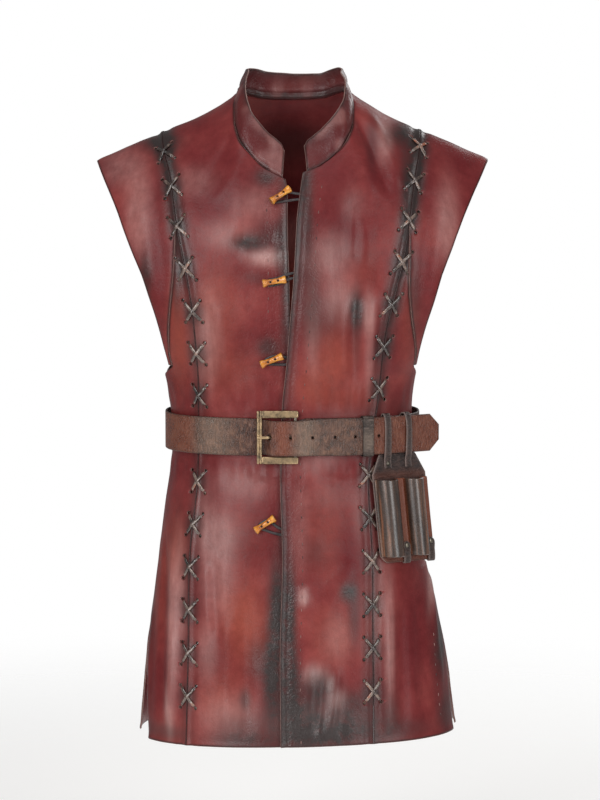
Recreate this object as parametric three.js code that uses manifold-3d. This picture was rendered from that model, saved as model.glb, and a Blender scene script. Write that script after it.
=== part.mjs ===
// A sleeveless leather jerkin, laced at its seams, with a standing collar, toggles and loops,
// its belt, and a two-tube carrier on the belt. Worn and hollow: every panel is a thin wall.
// Millimetres, +Z up, the front towards -Y, the wearer's left towards +X.
// The origin lies between the shoulders, at the base of the neck.
import * as THREE from "three";
import { mergeVertices } from "three/addons/utils/BufferGeometryUtils.js";
import Module from "manifold-3d";

const wasm = await Module();
wasm.setup();

// ---------------------------------------------------------------- driving sizes
const LEATHER = 2; // garment leather
const SEAM = 0.3; // gap between neighbouring pieces
const CHEST = -230; // height where the upright body ends and the roll over the shoulders starts
const HEM = -843;
const HEM_TILT = 0.02; // the hem rises a little towards the wearer's left
const RIDGE_Y = 6; // the shoulder ridge lies this far behind the side seams
const MEET_BELOW = 70; // below the chest the rings move over to that ridge within this height
const ROUND = 2.4; // how square the body's rings are: 2 is an ellipse
const ROLL = 1.7; // how square the roll over the shoulder is
const LAP_GAP = 2.5; // room between the fronts where they lap, for the loops
const BELT_TOP = -414.3;
const BELT_BOTTOM = -463.3;
const BELT_MIDDLE = (BELT_TOP + BELT_BOTTOM) / 2;
const BELT_LEATHER = 3;

// The body below the chest: half widths to the wearer's right and left, depths to front and back.
const RINGS = [
  { z: -230, right: 275, left: 272, front: 118, back: 112 },
  { z: -285, right: 222, left: 220, front: 119, back: 113 },
  { z: -315, right: 200, left: 197, front: 118, back: 112 },
  { z: -340, right: 184, left: 180, front: 117, back: 110 },
  { z: -370, right: 169, left: 164, front: 116, back: 108 },
  { z: -412, right: 162, left: 159, front: 113, back: 104 },
  { z: -440, right: 160, left: 159, front: 112, back: 103 },
  { z: -466, right: 160, left: 162, front: 113, back: 106 },
  { z: -551, right: 171, left: 169, front: 120, back: 119 },
  { z: -611, right: 180, left: 175, front: 124, back: 126 },
  { z: -679, right: 189, left: 193, front: 128, back: 132 },
  { z: -742, right: 198, left: 206, front: 132, back: 136 },
  { z: -850, right: 207, left: 221, front: 138, back: 142 },
];

// The height of the shoulder ridge at each distance from the middle. Near the middle, where the
// neck is cut out, the front falls away and the back stands up.
const RIDGE = [
  { x: 0, right: -22, left: -22, rightBack: 16, leftBack: 16 },
  { x: 40, right: -8, left: -8, rightBack: 15, leftBack: 16 },
  { x: 67, right: 11, left: 15, rightBack: 11, leftBack: 15 },
  { x: 83, right: -1, left: 4, rightBack: -1, leftBack: 4 },
  { x: 106, right: -16, left: -11, rightBack: -16, leftBack: -11 },
  { x: 130, right: -28, left: -26, rightBack: -28, leftBack: -26 },
  { x: 159, right: -41, left: -40, rightBack: -41, leftBack: -40 },
  { x: 189, right: -54, left: -52, rightBack: -54, leftBack: -52 },
  { x: 222, right: -67, left: -65, rightBack: -67, leftBack: -65 },
  { x: 262, right: -84, left: -80, rightBack: -84, leftBack: -80 },
];

// The cut edges, as distances from the middle on the wearer's right and left at each height.
const LACED_SEAM = [
  { z: -845, right: 139, left: 106 },
  { z: -724, right: 136, left: 105 },
  { z: -610, right: 133, left: 104 },
  { z: -505, right: 124, left: 99 },
  { z: -440, right: 122, left: 104 },
  { z: -386, right: 122, left: 112 },
  { z: -325, right: 125, left: 118 },
  { z: -279, right: 129, left: 126 },
  { z: -213, right: 140, left: 142 },
  { z: -162, right: 150, left: 151 },
  { z: -104, right: 159, left: 160 },
  { z: -70, right: 168, left: 166 },
  { z: -45, right: 172, left: 168 },
];
const LACED_SEAM_BACK = [
  { z: -845, right: 134, left: 130 },
  { z: -724, right: 130, left: 128 },
  { z: -610, right: 124, left: 122 },
  { z: -505, right: 118, left: 117 },
  { z: -386, right: 121, left: 120 },
  { z: -325, right: 126, left: 125 },
  { z: -279, right: 132, left: 131 },
  { z: -213, right: 142, left: 142 },
  { z: -162, right: 149, left: 150 },
  { z: -104, right: 158, left: 159 },
  { z: -70, right: 167, left: 165 },
  { z: -45, right: 172, left: 168 },
];
const WING_SEAM = [
  { z: -352, right: 160, left: 161 },
  { z: -335, right: 163, left: 162 },
  { z: -310, right: 162.5, left: 159 },
  { z: -280, right: 160, left: 154.5 },
  { z: -250, right: 157, left: 152 },
  { z: -210, right: 153.5, left: 151.5 },
  { z: -165, right: 151, left: 152 },
];
const ARMHOLE = [
  { z: -352, right: 165, left: 165 },
  { z: -332, right: 170, left: 168 },
  { z: -307, right: 175, left: 173 },
  { z: -278, right: 182, left: 181 },
  { z: -230, right: 198, left: 196 },
  { z: -190, right: 214, left: 211 },
  { z: -138, right: 234, left: 233 },
  { z: -107, right: 249, left: 248 },
  { z: -82, right: 260, left: 260 },
];
const NECK_FRONT = [
  { z: -107, right: 10, left: 7 },
  { z: -101, right: 19, left: 14 },
  { z: -91, right: 38, left: 36 },
  { z: -73, right: 56, left: 58 },
  { z: -53, right: 70, left: 72 },
  { z: -30, right: 76, left: 80 },
  { z: -7, right: 77, left: 80 },
  { z: 6, right: 73, left: 74 },
];
// The top edge of the back, as a place on the roll (see surface) at each distance from the middle.
const NECK_BACK = [
  { x: 0, path: 120 },
  { x: 40, path: 118 },
  { x: 58, path: 112.5 },
  { x: 72, path: 106.6 },
];
// The centre-front edges, measured towards the wearer's left.
const FRONT_EDGES = [
  { z: -845, under: 8, over: -15 },
  { z: -731, under: 8, over: -16 },
  { z: -599, under: 8, over: -13 },
  { z: -481, under: 6, over: -16 },
  { z: -397, under: 4, over: -13 },
  { z: -349, under: 2, over: -8 },
  { z: -300, under: -2, over: -4 },
  { z: -228, under: -4, over: 2 },
  { z: -159, under: -6, over: 6 },
  { z: -127, under: -6, over: 10 },
  { z: -101, under: -10, over: 14 },
];
// Where the front half of each side stops: 90 is the side seam, and less is an open vent.
const VENT = [
  { z: -843, right: 67, left: 77 },
  { z: -790, right: 71, left: 80 },
  { z: -735, right: 78, left: 84 },
  { z: -680, right: 90, left: 90 },
];

// Rows of the walls, by height below the chest and by place on the roll above it.
const HEIGHTS = [
  HEM, -790, -735, -680, -625, -575, -525, -482, -440, -405, -370, -360, -352, -335, -310, -280, -250,
];
const TURNS = [0, 14, 26, 35, 44, 46.5, 51, 57, 70, 83, 94, 106];
const TURNS_BACK = [106, 112, 120, 130, 143, 158, 174, 187, 200];
const WING_TOP_OF_SIDE = 26; // where the side panel starts as a point, on the roll
const SIDE_TIP = 2; // the width of that point
const RIDGE_TURN = 100;
const FULL_TURN = 200;

// ---------------------------------------------------------------- small helpers
const clamp = THREE.MathUtils.clamp;
const lerp = THREE.MathUtils.lerp;
const radians = THREE.MathUtils.degToRad;
const smooth = (x, low, high) => THREE.MathUtils.smoothstep(x, low, high);
const vec = (x, y, z) => new THREE.Vector3(x, y, z);

// A smooth value from a table: `by` is the column of keys, which rises or falls all the way.
function pick(table, by, column, at) {
  const last = table.length - 1;
  const way = Math.sign(table[last][by] - table[0][by]);
  if ((at - table[0][by]) * way <= 0) return table[0][column];
  if ((at - table[last][by]) * way >= 0) return table[last][column];
  let i = 0;
  while ((at - table[i + 1][by]) * way > 0) i += 1;
  const slope = (k) =>
    (table[k + 1][column] - table[k][column]) / (table[k + 1][by] - table[k][by]);
  const tangent = (k) => {
    if (k === 0) return slope(0);
    if (k === last) return slope(last - 1);
    const before = slope(k - 1);
    const after = slope(k);
    return before * after <= 0 ? 0 : (2 * before * after) / (before + after);
  };
  const step = table[i + 1][by] - table[i][by];
  const t = (at - table[i][by]) / step;
  return (
    table[i][column] * (1 + 2 * t) * (1 - t) ** 2 +
    tangent(i) * step * t * (1 - t) ** 2 +
    table[i + 1][column] * t * t * (3 - 2 * t) +
    tangent(i + 1) * step * t * t * (t - 1)
  );
}

// ---------------------------------------------------------------- the garment's surface
// A place on the surface has two numbers. `path` runs from the front hem up to the chest (0),
// over the shoulder ridge (100) to the back (200) and down to the back hem: below the chest it
// is millimetres, on the roll it is hundredths of a quarter turn. `around` is an angle: 0 at the
// middle, -90 at the wearer's right side and +90 at the left.
const sideOf = (x) => (x < 0 ? "right" : "left");
const heightOf = (path) => (path < 0 ? CHEST + path : CHEST - (path - FULL_TURN));
const onRoll = (path) => path >= 0 && path <= FULL_TURN;
const widthOf = (side, path) => pick(RINGS, "z", side, onRoll(path) ? CHEST : heightOf(path));

function ridgeHeight(x, path) {
  return pick(RIDGE, "x", sideOf(x) + (path > RIDGE_TURN ? "Back" : ""), Math.abs(x));
}

function surface(around, path) {
  const side = sideOf(around);
  const x =
    Math.sign(around) * widthOf(side, path) * Math.abs(Math.sin(around)) ** (2 / ROUND);
  const shrink = Math.abs(Math.cos(around)) ** (2 / ROUND);
  if (!onRoll(path)) {
    const z = heightOf(path);
    const depth = path < 0 ? -pick(RINGS, "z", "front", z) : pick(RINGS, "z", "back", z);
    const meet = RIDGE_Y * (1 - shrink) * clamp((z - CHEST + MEET_BELOW) / MEET_BELOW, 0, 1);
    const tilt = HEM_TILT * x * ((z - CHEST) / (HEM - CHEST)) ** 2;
    return vec(x, depth * shrink + meet, z + tilt);
  }
  const turn = (path / FULL_TURN) * Math.PI;
  const rise = Math.sin(turn) ** (2 / ROLL);
  const reach = Math.abs(Math.cos(turn)) ** (2 / ROLL);
  const z = CHEST + (ridgeHeight(x, path) - CHEST) * rise;
  const front = path < RIDGE_TURN;
  const depth = shrink * (front ? RINGS[0].front + RIDGE_Y : RINGS[0].back - RIDGE_Y);
  return vec(x, RIDGE_Y + (front ? -reach : reach) * depth, z);
}

function normalAt(around, path) {
  const step = 0.004;
  const limit = Math.PI / 2 - step;
  const a = clamp(around, -limit, limit);
  const across = surface(a + step, path).sub(surface(a - step, path));
  const along = surface(a, path + 0.5).sub(surface(a, path - 0.5));
  const normal = across.cross(along).normalize();
  return normal; // across x along points outwards all the way over the shoulder
}

// The angle at which a given distance from the middle lies.
function aroundAt(x, path) {
  const share = Math.min(1, Math.abs(x) / widthOf(sideOf(x), path));
  return Math.sign(x) * Math.asin(share ** (ROUND / 2));
}

// The place on the roll of a point of the front, or of the back mirrored to the front.
function pathOf(x, z, back) {
  if (z <= CHEST) return z - CHEST;
  const top = ridgeHeight(x, back ? FULL_TURN : 0);
  const share = Math.min(1, (z - CHEST) / (top - CHEST));
  return (Math.asin(share ** (ROLL / 2)) / Math.PI) * FULL_TURN;
}

// Where an edge from a table crosses the row at `path`, as a distance from the middle.
function edgeAt(table, column, path) {
  const back = path > RIDGE_TURN;
  const level = back ? FULL_TURN - path : path;
  const numbered = table.map((row, index) => ({ ...row, index }));
  let low = 0;
  let high = table.length - 1;
  for (let k = 0; k < 30; k += 1) {
    const middle = (low + high) / 2;
    const x = pick(numbered, "index", column, middle);
    const z = pick(numbered, "index", "z", middle);
    const place = pathOf(column === "right" ? -x : x, z, back);
    if (place < level) low = middle;
    else high = middle;
  }
  return pick(numbered, "index", column, (low + high) / 2);
}

// ---------------------------------------------------------------- walls and solids
function geometryOf(points, faces) {
  const geometry = new THREE.BufferGeometry();
  const flat = points.flatMap((p) => [p.x, p.y, p.z]);
  geometry.setAttribute("position", new THREE.Float32BufferAttribute(flat, 3));
  geometry.setIndex(faces.flat());
  return geometry;
}

function volumeOf(points, faces) {
  return faces.reduce((sum, [a, b, c]) => {
    const cross = points[b].clone().cross(points[c]);
    return sum + points[a].dot(cross) / 6;
  }, 0);
}

// A closed wall between two grids of points, given as rows of columns.
function wall(outer, inner) {
  const rows = outer.length;
  const columns = outer[0].length;
  const points = [...outer.flat(), ...inner.flat()];
  const at = (layer, i, j) => layer * rows * columns + i * columns + j;
  const faces = [];
  for (let i = 0; i < rows - 1; i += 1) {
    for (let j = 0; j < columns - 1; j += 1) {
      faces.push([at(0, i, j), at(0, i, j + 1), at(0, i + 1, j)]);
      faces.push([at(0, i, j + 1), at(0, i + 1, j + 1), at(0, i + 1, j)]);
      faces.push([at(1, i, j), at(1, i + 1, j), at(1, i, j + 1)]);
      faces.push([at(1, i, j + 1), at(1, i + 1, j), at(1, i + 1, j + 1)]);
    }
  }
  const border = [];
  for (let j = 0; j < columns - 1; j += 1) border.push([0, j, 0, j + 1]);
  for (let i = 0; i < rows - 1; i += 1) border.push([i, columns - 1, i + 1, columns - 1]);
  for (let j = columns - 1; j > 0; j -= 1) border.push([rows - 1, j, rows - 1, j - 1]);
  for (let i = rows - 1; i > 0; i -= 1) border.push([i, 0, i - 1, 0]);
  for (const [i, j, k, l] of border) {
    faces.push([at(0, i, j), at(1, i, j), at(1, k, l)]);
    faces.push([at(0, i, j), at(1, k, l), at(0, k, l)]);
  }
  if (volumeOf(points, faces) < 0) faces.forEach((face) => face.reverse());
  return geometryOf(points, faces);
}

// A bar through stations, each a ring of the same number of corners.
function loft(stations) {
  const sides = stations[0].length;
  const points = stations.flat();
  const faces = [];
  for (let i = 0; i < stations.length - 1; i += 1) {
    for (let j = 0; j < sides; j += 1) {
      const a = i * sides + j;
      const b = i * sides + ((j + 1) % sides);
      faces.push([a, b, b + sides], [a, b + sides, a + sides]);
    }
  }
  const end = (stations.length - 1) * sides;
  for (let j = 1; j < sides - 1; j += 1) {
    faces.push([0, j + 1, j], [end, end + j, end + j + 1]);
  }
  if (volumeOf(points, faces) < 0) faces.forEach((face) => face.reverse());
  return geometryOf(points, faces);
}

function solidOf(geometry) {
  const bare = geometry.clone();
  bare.deleteAttribute("normal");
  bare.deleteAttribute("uv");
  const merged = mergeVertices(bare, 1e-4);
  return new wasm.Manifold(
    new wasm.Mesh({
      numProp: 3,
      vertProperties: new Float32Array(merged.attributes.position.array),
      triVerts: new Uint32Array(merged.index.array),
    }),
  );
}

function geometryFrom(solid) {
  const mesh = solid.getMesh();
  const geometry = new THREE.BufferGeometry();
  const position = [];
  for (let i = 0; i < mesh.numVert; i += 1) {
    position.push(...mesh.vertProperties.subarray(i * mesh.numProp, i * mesh.numProp + 3));
  }
  geometry.setAttribute("position", new THREE.Float32BufferAttribute(position, 3));
  geometry.setIndex([...mesh.triVerts]);
  return geometry;
}

// Cuts may be rounded off by this much, which drops the slivers they leave.
const SLIVER = 0.01;
const joined = (solids) => solids.reduce((sum, next) => sum.add(next));
const cutBy = (geometry, cutters) =>
  geometryFrom(solidOf(geometry).subtract(joined(cutters)).asOriginal().simplify(SLIVER));

// ---------------------------------------------------------------- panels
// `edges(path)` gives the angles of a row's two ends; `shares` places the columns between them.
function makePanel({ rows, edges, shares, lift = () => 0, level = (path) => path }) {
  const outer = [];
  const normals = [];
  for (const path of rows) {
    const [from, to] = edges(path);
    const line = shares.map((share) => {
      const around = lerp(from, to, share);
      const place = level(path, surface(around, path).x);
      const normal = normalAt(around, place);
      const point = surface(around, place);
      return { normal, point: point.addScaledVector(normal, lift(point)) };
    });
    outer.push(line.map((spot) => spot.point));
    normals.push(line.map((spot) => spot.normal));
  }
  const inner = outer.map((line, i) =>
    line.map((point, j) => point.clone().addScaledVector(normals[i][j], -LEATHER)),
  );
  return { rows, shares, outer, inner, normals, edges, holes: [] };
}

// A point on a panel's own facets: `share` runs across the row from 0 to 1, and may go past it.
function spotOn(panel, path, share, lift = 0) {
  const { rows, shares, outer, normals } = panel;
  let i = rows.findIndex((row, k) => k < rows.length - 1 && path <= rows[k + 1]);
  if (i < 0) i = rows.length - 2;
  const f = (path - rows[i]) / (rows[i + 1] - rows[i]);
  let j = shares.findIndex((column, k) => k < shares.length - 1 && share <= shares[k + 1]);
  if (j < 0) j = shares.length - 2;
  const g = (share - shares[j]) / (shares[j + 1] - shares[j]);
  const mix = (grid) => {
    const [corner, beside] = [grid[i][j], grid[i][j + 1]];
    const [above, far] = [grid[i + 1][j], grid[i + 1][j + 1]];
    const first = f + g < 1;
    const start = first ? corner : far;
    const [across, along] = first ? [g, f] : [1 - g, 1 - f];
    return start.clone()
      .addScaledVector((first ? beside : above).clone().sub(start), across)
      .addScaledVector((first ? above : beside).clone().sub(start), along);
  };
  const normal = mix(normals).normalize();
  return { point: mix(outer).addScaledVector(normal, lift), normal };
}

// The share across a panel at which a given distance from the middle lies.
function shareAt(panel, path, x) {
  const [from, to] = panel.edges(path);
  return (aroundAt(x, path) - from) / (to - from);
}

// Moves an edge across the surface by a few tenths of a millimetre.
function shifted(around, path, distance) {
  const step = 0.002;
  const limit = Math.PI / 2 - step;
  const a = clamp(around, -limit, limit);
  const speed = surface(a + step, path).distanceTo(surface(a - step, path)) / (2 * step);
  return around + distance / speed;
}

const evenly = (count) => Array.from({ length: count + 1 }, (_, k) => k / count);
const frontRows = [...HEIGHTS.map((z) => z - CHEST), ...TURNS];
const backRows = [...TURNS_BACK, ...HEIGHTS.toReversed().map((z) => FULL_TURN + CHEST - z)];
const lacedTable = (path) => (path > RIDGE_TURN ? LACED_SEAM_BACK : LACED_SEAM);
const signOf = { right: -1, left: 1 };

function lacedSeam(side, path) {
  return aroundAt(signOf[side] * edgeAt(lacedTable(path), side, path), path);
}

// The seam of the wing: along the side panel low down, and along the laced seam higher up.
function wingSeam(side, path) {
  const sign = signOf[side];
  const level = path > RIDGE_TURN ? FULL_TURN - path : path;
  if (level > WING_TOP_OF_SIDE) return lacedSeam(side, path);
  const least = shifted(lacedSeam(side, path), path, sign * SIDE_TIP);
  const seam = aroundAt(sign * edgeAt(WING_SEAM, side, path), path);
  return sign * Math.max(sign * seam, sign * least);
}

// The centre-front edge, and above it the edge of the neck.
function frontEdge(side, path) {
  const [edge, neckStart] = side === "right" ? ["under", 44] : ["over", 46];
  if (path < neckStart) {
    const z = path < 0 ? CHEST + path : surface(0.02, path).z;
    return aroundAt(pick(FRONT_EDGES, "z", edge, z), path);
  }
  return aroundAt(signOf[side] * edgeAt(NECK_FRONT, side, Math.min(path, 99)), path);
}

// The left front laps over the right one and lies that much further out near the middle.
const lapLift = (point) => (LAP_GAP + LEATHER) * (1 - smooth(point.x, 16, 72));

function makeFront(side) {
  return makePanel({
    rows: frontRows,
    shares: evenly(5),
    lift: side === "left" ? lapLift : undefined,
    edges: (path) => [
      frontEdge(side, path),
      shifted(lacedSeam(side, path), path, (-signOf[side] * SEAM) / 2),
    ],
  });
}

function makeWing(side) {
  const lowest = -352 - CHEST;
  const rows = [...frontRows, ...backRows.slice(1)].filter(
    (path) => path >= lowest && path <= FULL_TURN - lowest,
  );
  return makePanel({
    rows,
    shares: evenly(4),
    edges: (path) => [
      shifted(wingSeam(side, path), path, (signOf[side] * SEAM) / 2),
      aroundAt(signOf[side] * edgeAt(ARMHOLE, side, path), path),
    ],
  });
}

// The outer edge of a side panel: the wing's seam, the bottom of the armhole, the side seam.
function sideEdge(side, path, back) {
  const level = back ? FULL_TURN - path : path;
  const z = CHEST + Math.min(level, 0);
  const sign = signOf[side];
  if (level > -125 && z >= -352) {
    return shifted(wingSeam(side, path), path, (-sign * SEAM) / 2);
  }
  const stop = back ? 90 : pick(VENT, "z", side, z);
  if (stop < 90) return sign * radians(stop);
  const depth = pick(RINGS, "z", back ? "back" : "front", z);
  return sign * Math.acos((SEAM / 2 / depth) ** (ROUND / 2));
}

function makeSide(side, back) {
  const all = back ? backRows : frontRows;
  const inReach = (path) => (back ? FULL_TURN - path : path) <= WING_TOP_OF_SIDE;
  return makePanel({
    rows: all.filter(inReach),
    shares: evenly(3),
    edges: (path) => {
      const from = shifted(lacedSeam(side, path), path, (signOf[side] * SEAM) / 2);
      return [from, sideEdge(side, path, back)];
    },
  });
}

function makeBack() {
  const blendTo = 130;
  const top = (x) => pick(NECK_BACK, "x", "path", Math.abs(x));
  return makePanel({
    rows: backRows,
    shares: [0, 0.16, 0.322, 0.365, 0.4135, 0.5, 0.5865, 0.635, 0.678, 0.84, 1],
    level: (path, x) =>
      path >= blendTo
        ? path
        : lerp(top(x), blendTo, (path - TURNS_BACK[0]) / (blendTo - TURNS_BACK[0])),
    edges: (path) => [
      shifted(lacedSeam("right", path), path, SEAM / 2),
      shifted(lacedSeam("left", path), path, -SEAM / 2),
    ],
  });
}

const panels = {
  front_right: makeFront("right"),
  front_left: makeFront("left"),
  wing_right: makeWing("right"),
  wing_left: makeWing("left"),
  side_front_right: makeSide("right", false),
  side_front_left: makeSide("left", false),
  side_back_right: makeSide("right", true),
  side_back_left: makeSide("left", true),
  back: makeBack(),
};

// ---------------------------------------------------------------- the exported group
const COLOURS = {
  jerkin: { color: "#7e3a38", roughness: 0.5 },
  lace: { color: "#4b3a34", roughness: 0.55 },
  bamboo: { color: "#c98a2e", roughness: 0.35 },
  cord: { color: "#4a4340", roughness: 0.7 },
  belt: { color: "#5a3a2e", roughness: 0.5 },
  brass: { color: "#9a865a", roughness: 0.4, metalness: 1 },
  carrier: { color: "#4a2f29", roughness: 0.4 },
};
const group = new THREE.Group();
function addNode(name, geometry, colour) {
  const mesh = new THREE.Mesh(geometry, new THREE.MeshStandardMaterial(COLOURS[colour]));
  mesh.name = name;
  group.add(mesh);
}

// ---------------------------------------------------------------- collar
const COLLAR_LEAN = [
  { y: -85, height: 47, lean: 24 },
  { y: -20, height: 33, lean: 23 },
  { y: 40, height: 31, lean: 12 },
];
const COLLAR_ROWS = [0, 0.1, 0.5, 1];
const COLLAR_CORNER = [0.84, 0.97, 1]; // how its height drops off over its last lines
const NECK_AXIS_Y = -8;

// The edge of the neck, from the wearer's right front round the back to the left front.
function neckEdge() {
  const first = frontRows.indexOf(44);
  const half = (panel) =>
    panel.outer.slice(first).map((line, k) => ({
      point: line[0],
      normal: panel.normals[first + k][0],
    }));
  const { outer, normals } = panels.back;
  const behind = [3, 4, 5, 6, 7].map((j) => ({ point: outer[0][j], normal: normals[0][j] }));
  return [...half(panels.front_right), ...behind, ...half(panels.front_left).reverse()];
}

function makeCollar() {
  const edge = neckEdge();
  const up = vec(0, 0, 1);
  const lines = edge.map(({ point, normal }, k) => {
    const before = edge[Math.max(0, k - 1)].point;
    const after = edge[Math.min(edge.length - 1, k + 1)].point;
    const inward = vec(-point.x, NECK_AXIS_Y - point.y, 0).normalize();
    const away = after.clone().sub(before).cross(normal).normalize();
    if (away.dot(inward.clone().add(up)) < 0) away.negate();
    const base = point.clone().addScaledVector(away, SEAM);
    const lean = radians(pick(COLLAR_LEAN, "y", "lean", point.y));
    const corner = Math.min(k, edge.length - 1 - k);
    const height = pick(COLLAR_LEAN, "y", "height", point.y) * COLLAR_CORNER[Math.min(corner, 2)];
    const rise = up.clone().multiplyScalar(Math.cos(lean)).addScaledVector(inward, Math.sin(lean));
    const out = inward.clone().multiplyScalar(-Math.cos(lean)).addScaledVector(up, Math.sin(lean));
    return COLLAR_ROWS.map((share) => {
      const spot = base.clone().addScaledVector(rise, share * height);
      spot.addScaledVector(out, 2 * Math.sin(share * Math.PI));
      const thick = share === 0 ? out.clone().add(normal).normalize() : out;
      return { outer: spot, inner: spot.clone().addScaledVector(thick, -LEATHER) };
    });
  });
  const grid = (key) => lines.map((line) => line.map((spot) => spot[key]));
  return wall(grid("outer"), grid("inner"));
}

addNode("collar", makeCollar(), "jerkin");

// ---------------------------------------------------------------- lacing
const THONG = { width: 3.2, thick: 1.4 };
const CROSS = { halfHeight: 14, halfWidth: 10 };
const SEAM_SPARE = { front: 22, back: 14 }; // clear of crosses at the top of each laced seam
const LACE_HOLE = 3.9;
const OUTSIDE = 0.85 + THONG.thick / 2; // how far the thong's middle lies off the leather
const INSIDE = -LEATHER - OUTSIDE;
const CROSSING_RISE = 1.2; // the upper thong climbs this much over the lower one
const THONG_END = 12;
const SHOULDER_SEAM = 106.3;
const NARROW = 7; // where the side panel is narrower than this, the holes are in the wing
const MIDDLING = 0.55; // and where it is no wider than a hole needs, they are near its middle

// A point beside the laced seam: distance below 0 is on the body panel, above 0 outside it.
function besideSeam(side, path, distance, lift) {
  const onBack = path > SHOULDER_SEAM;
  const body = onBack ? panels.back : panels[`front_${side}`];
  const bodyEdge = onBack && side === "right" ? 0 : 1;
  const bodySpot = (gap) => {
    const share = gap / rowLength(body, path);
    return spotOn(body, path, bodyEdge === 1 ? 1 - share : share, lift);
  };
  const outside = (gap) => {
    const level = onBack ? FULL_TURN - path : path;
    const wing = panels[`wing_${side}`];
    if (level > WING_TOP_OF_SIDE) return { panel: wing, gap };
    const strip = panels[`side_${onBack ? "back" : "front"}_${side}`];
    const room = rowLength(strip, path);
    const narrow = room < NARROW && gap > 0;
    if (narrow) return { panel: wing, gap: gap - room };
    return { panel: strip, gap: Math.min(gap, MIDDLING * room) };
  };
  const outerSpot = (gap) => {
    const place = outside(gap);
    const share = place.gap / rowLength(place.panel, path);
    return { ...spotOn(place.panel, path, share, lift), panel: place.panel };
  };
  if (distance < 0) return { ...bodySpot(-distance), panel: body };
  if (distance > 0) return outerSpot(distance);
  const a = bodySpot(0);
  const b = outerSpot(0);
  return {
    point: a.point.add(b.point).multiplyScalar(0.5),
    normal: a.normal.add(b.normal).normalize(),
  };
}

// The length of a panel's row along its facets.
function rowLength(panel, path) {
  let sum = 0;
  for (let j = 1; j < panel.shares.length; j += 1) {
    const from = spotOn(panel, path, panel.shares[j - 1]).point;
    sum += from.distanceTo(spotOn(panel, path, panel.shares[j]).point);
  }
  return sum;
}

// The seam as a line measured in millimetres from the hem.
function measuredSeam(side, back) {
  const rows = back ? backRows.toReversed().slice(0, -1) : frontRows;
  const marks = [{ length: 0, path: rows[0] }];
  let last = besideSeam(side, rows[0], 0, 0).point;
  for (const path of rows.slice(1)) {
    const point = besideSeam(side, path, 0, 0).point;
    marks.push({ length: marks.at(-1).length + point.distanceTo(last), path });
    last = point;
  }
  const pathFor = (length) => {
    const i = clamp(marks.findIndex((mark) => mark.length > length), 1, marks.length - 1);
    const [a, b] = [marks[i - 1], marks[i]];
    return lerp(a.path, b.path, (length - a.length) / (b.length - a.length));
  };
  return { marks, pathFor, length: marks.at(-1).length };
}

function makeLace({ side, back, first, pitch }) {
  const seam = measuredSeam(side, back);
  const at = (length, distance, lift) =>
    besideSeam(side, seam.pathFor(length), distance, lift);
  const tangentAt = (length) =>
    at(length + 3, 0, 0).point.sub(at(length - 3, 0, 0).point).normalize();
  const reach = seam.length - CROSS.halfHeight - SEAM_SPARE[back ? "back" : "front"];
  const crosses = [];
  for (let length = first; length <= reach; length += pitch) crosses.push(length);

  const punch = (length, distance) => {
    const { point, normal, panel } = at(length, distance, 0);
    const along = tangentAt(length).projectOnPlane(normal).normalize();
    const across = along.clone().cross(normal);
    const half = LACE_HOLE / 2;
    const corner = (a, b, lift) =>
      point.clone().addScaledVector(across, a * half).addScaledVector(along, b * half)
        .addScaledVector(normal, lift);
    const ring = (lift) => [corner(-1, -1, lift), corner(1, -1, lift), corner(1, 1, lift),
      corner(-1, 1, lift)];
    panel.holes.push(solidOf(loft([ring(2), ring(-LEATHER - 2)])));
  };
  for (const length of crosses) {
    for (const distance of [-CROSS.halfWidth, CROSS.halfWidth]) {
      punch(length - CROSS.halfHeight, distance);
      punch(length + CROSS.halfHeight, distance);
    }
  }

  // One thong: up through a hole, over the seam, back in at the next hole, and up behind.
  const rowsBetween = (low, high) =>
    seam.marks.map((mark) => (mark.length - low) / (high - low))
      .filter((share) => share > 0.06 && share < 0.94);
  const thong = (startSide) => {
    const spots = [];
    const add = (length, distance, lift) => spots.push(at(length, distance, lift));
    let hand = startSide;
    crosses.forEach((middle, k) => {
      const low = middle - CROSS.halfHeight;
      const high = middle + CROSS.halfHeight;
      const climbs = (k % 2 === 0) === (startSide > 0) ? CROSSING_RISE : 0;
      if (k === 0) add(low - THONG_END, hand * CROSS.halfWidth, INSIDE);
      add(low, hand * CROSS.halfWidth, INSIDE);
      const between = rowsBetween(low, high).filter((share) => Math.abs(share - 0.5) > 0.04);
      for (const share of [0, 0.5, 1, ...between].sort((a, b) => a - b)) {
        const rise = climbs * (1 - Math.abs(2 * share - 1));
        const place = lerp(low, high, share);
        add(place, hand * CROSS.halfWidth * (1 - 2 * share), OUTSIDE + rise);
      }
      hand = -hand;
      add(high, hand * CROSS.halfWidth, INSIDE);
      const next = crosses[k + 1] ? crosses[k + 1] - CROSS.halfHeight : high + THONG_END;
      for (const share of rowsBetween(high, next)) {
        add(lerp(high, next, share), hand * CROSS.halfWidth, INSIDE);
      }
      if (!crosses[k + 1]) add(next, hand * CROSS.halfWidth, INSIDE);
    });
    return sweep(spots, flatSection(THONG));
  };
  return geometryFrom(solidOf(thong(-1)).add(solidOf(thong(1))));
}

// A bar swept through spots. `wide` is the section's first axis, square to the run; when a spot
// has none it lies in the leather's plane.
function sweep(spots, section) {
  const headings = spots.slice(1).map((spot, k) =>
    spot.point.clone().sub(spots[k].point).normalize());
  let previous = null;
  const stations = spots.map((spot, k) => {
    const before = headings[Math.max(0, k - 1)];
    const after = headings[Math.min(headings.length - 1, k)];
    const flat = before.clone().add(after).projectOnPlane(spot.normal);
    const wide = spot.wide ? spot.wide.clone() : flat.cross(spot.normal).normalize();
    if (previous && wide.dot(previous) < 0) wide.negate();
    previous = wide;
    const first = wide.clone().cross(before).normalize();
    const second = wide.clone().cross(after).normalize();
    const mitre = first.clone().add(second).divideScalar(1 + first.dot(second));
    return section.map(([a, b]) =>
      spot.point.clone().addScaledVector(wide, a).addScaledVector(mitre, b),
    );
  });
  return loft(stations);
}

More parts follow.
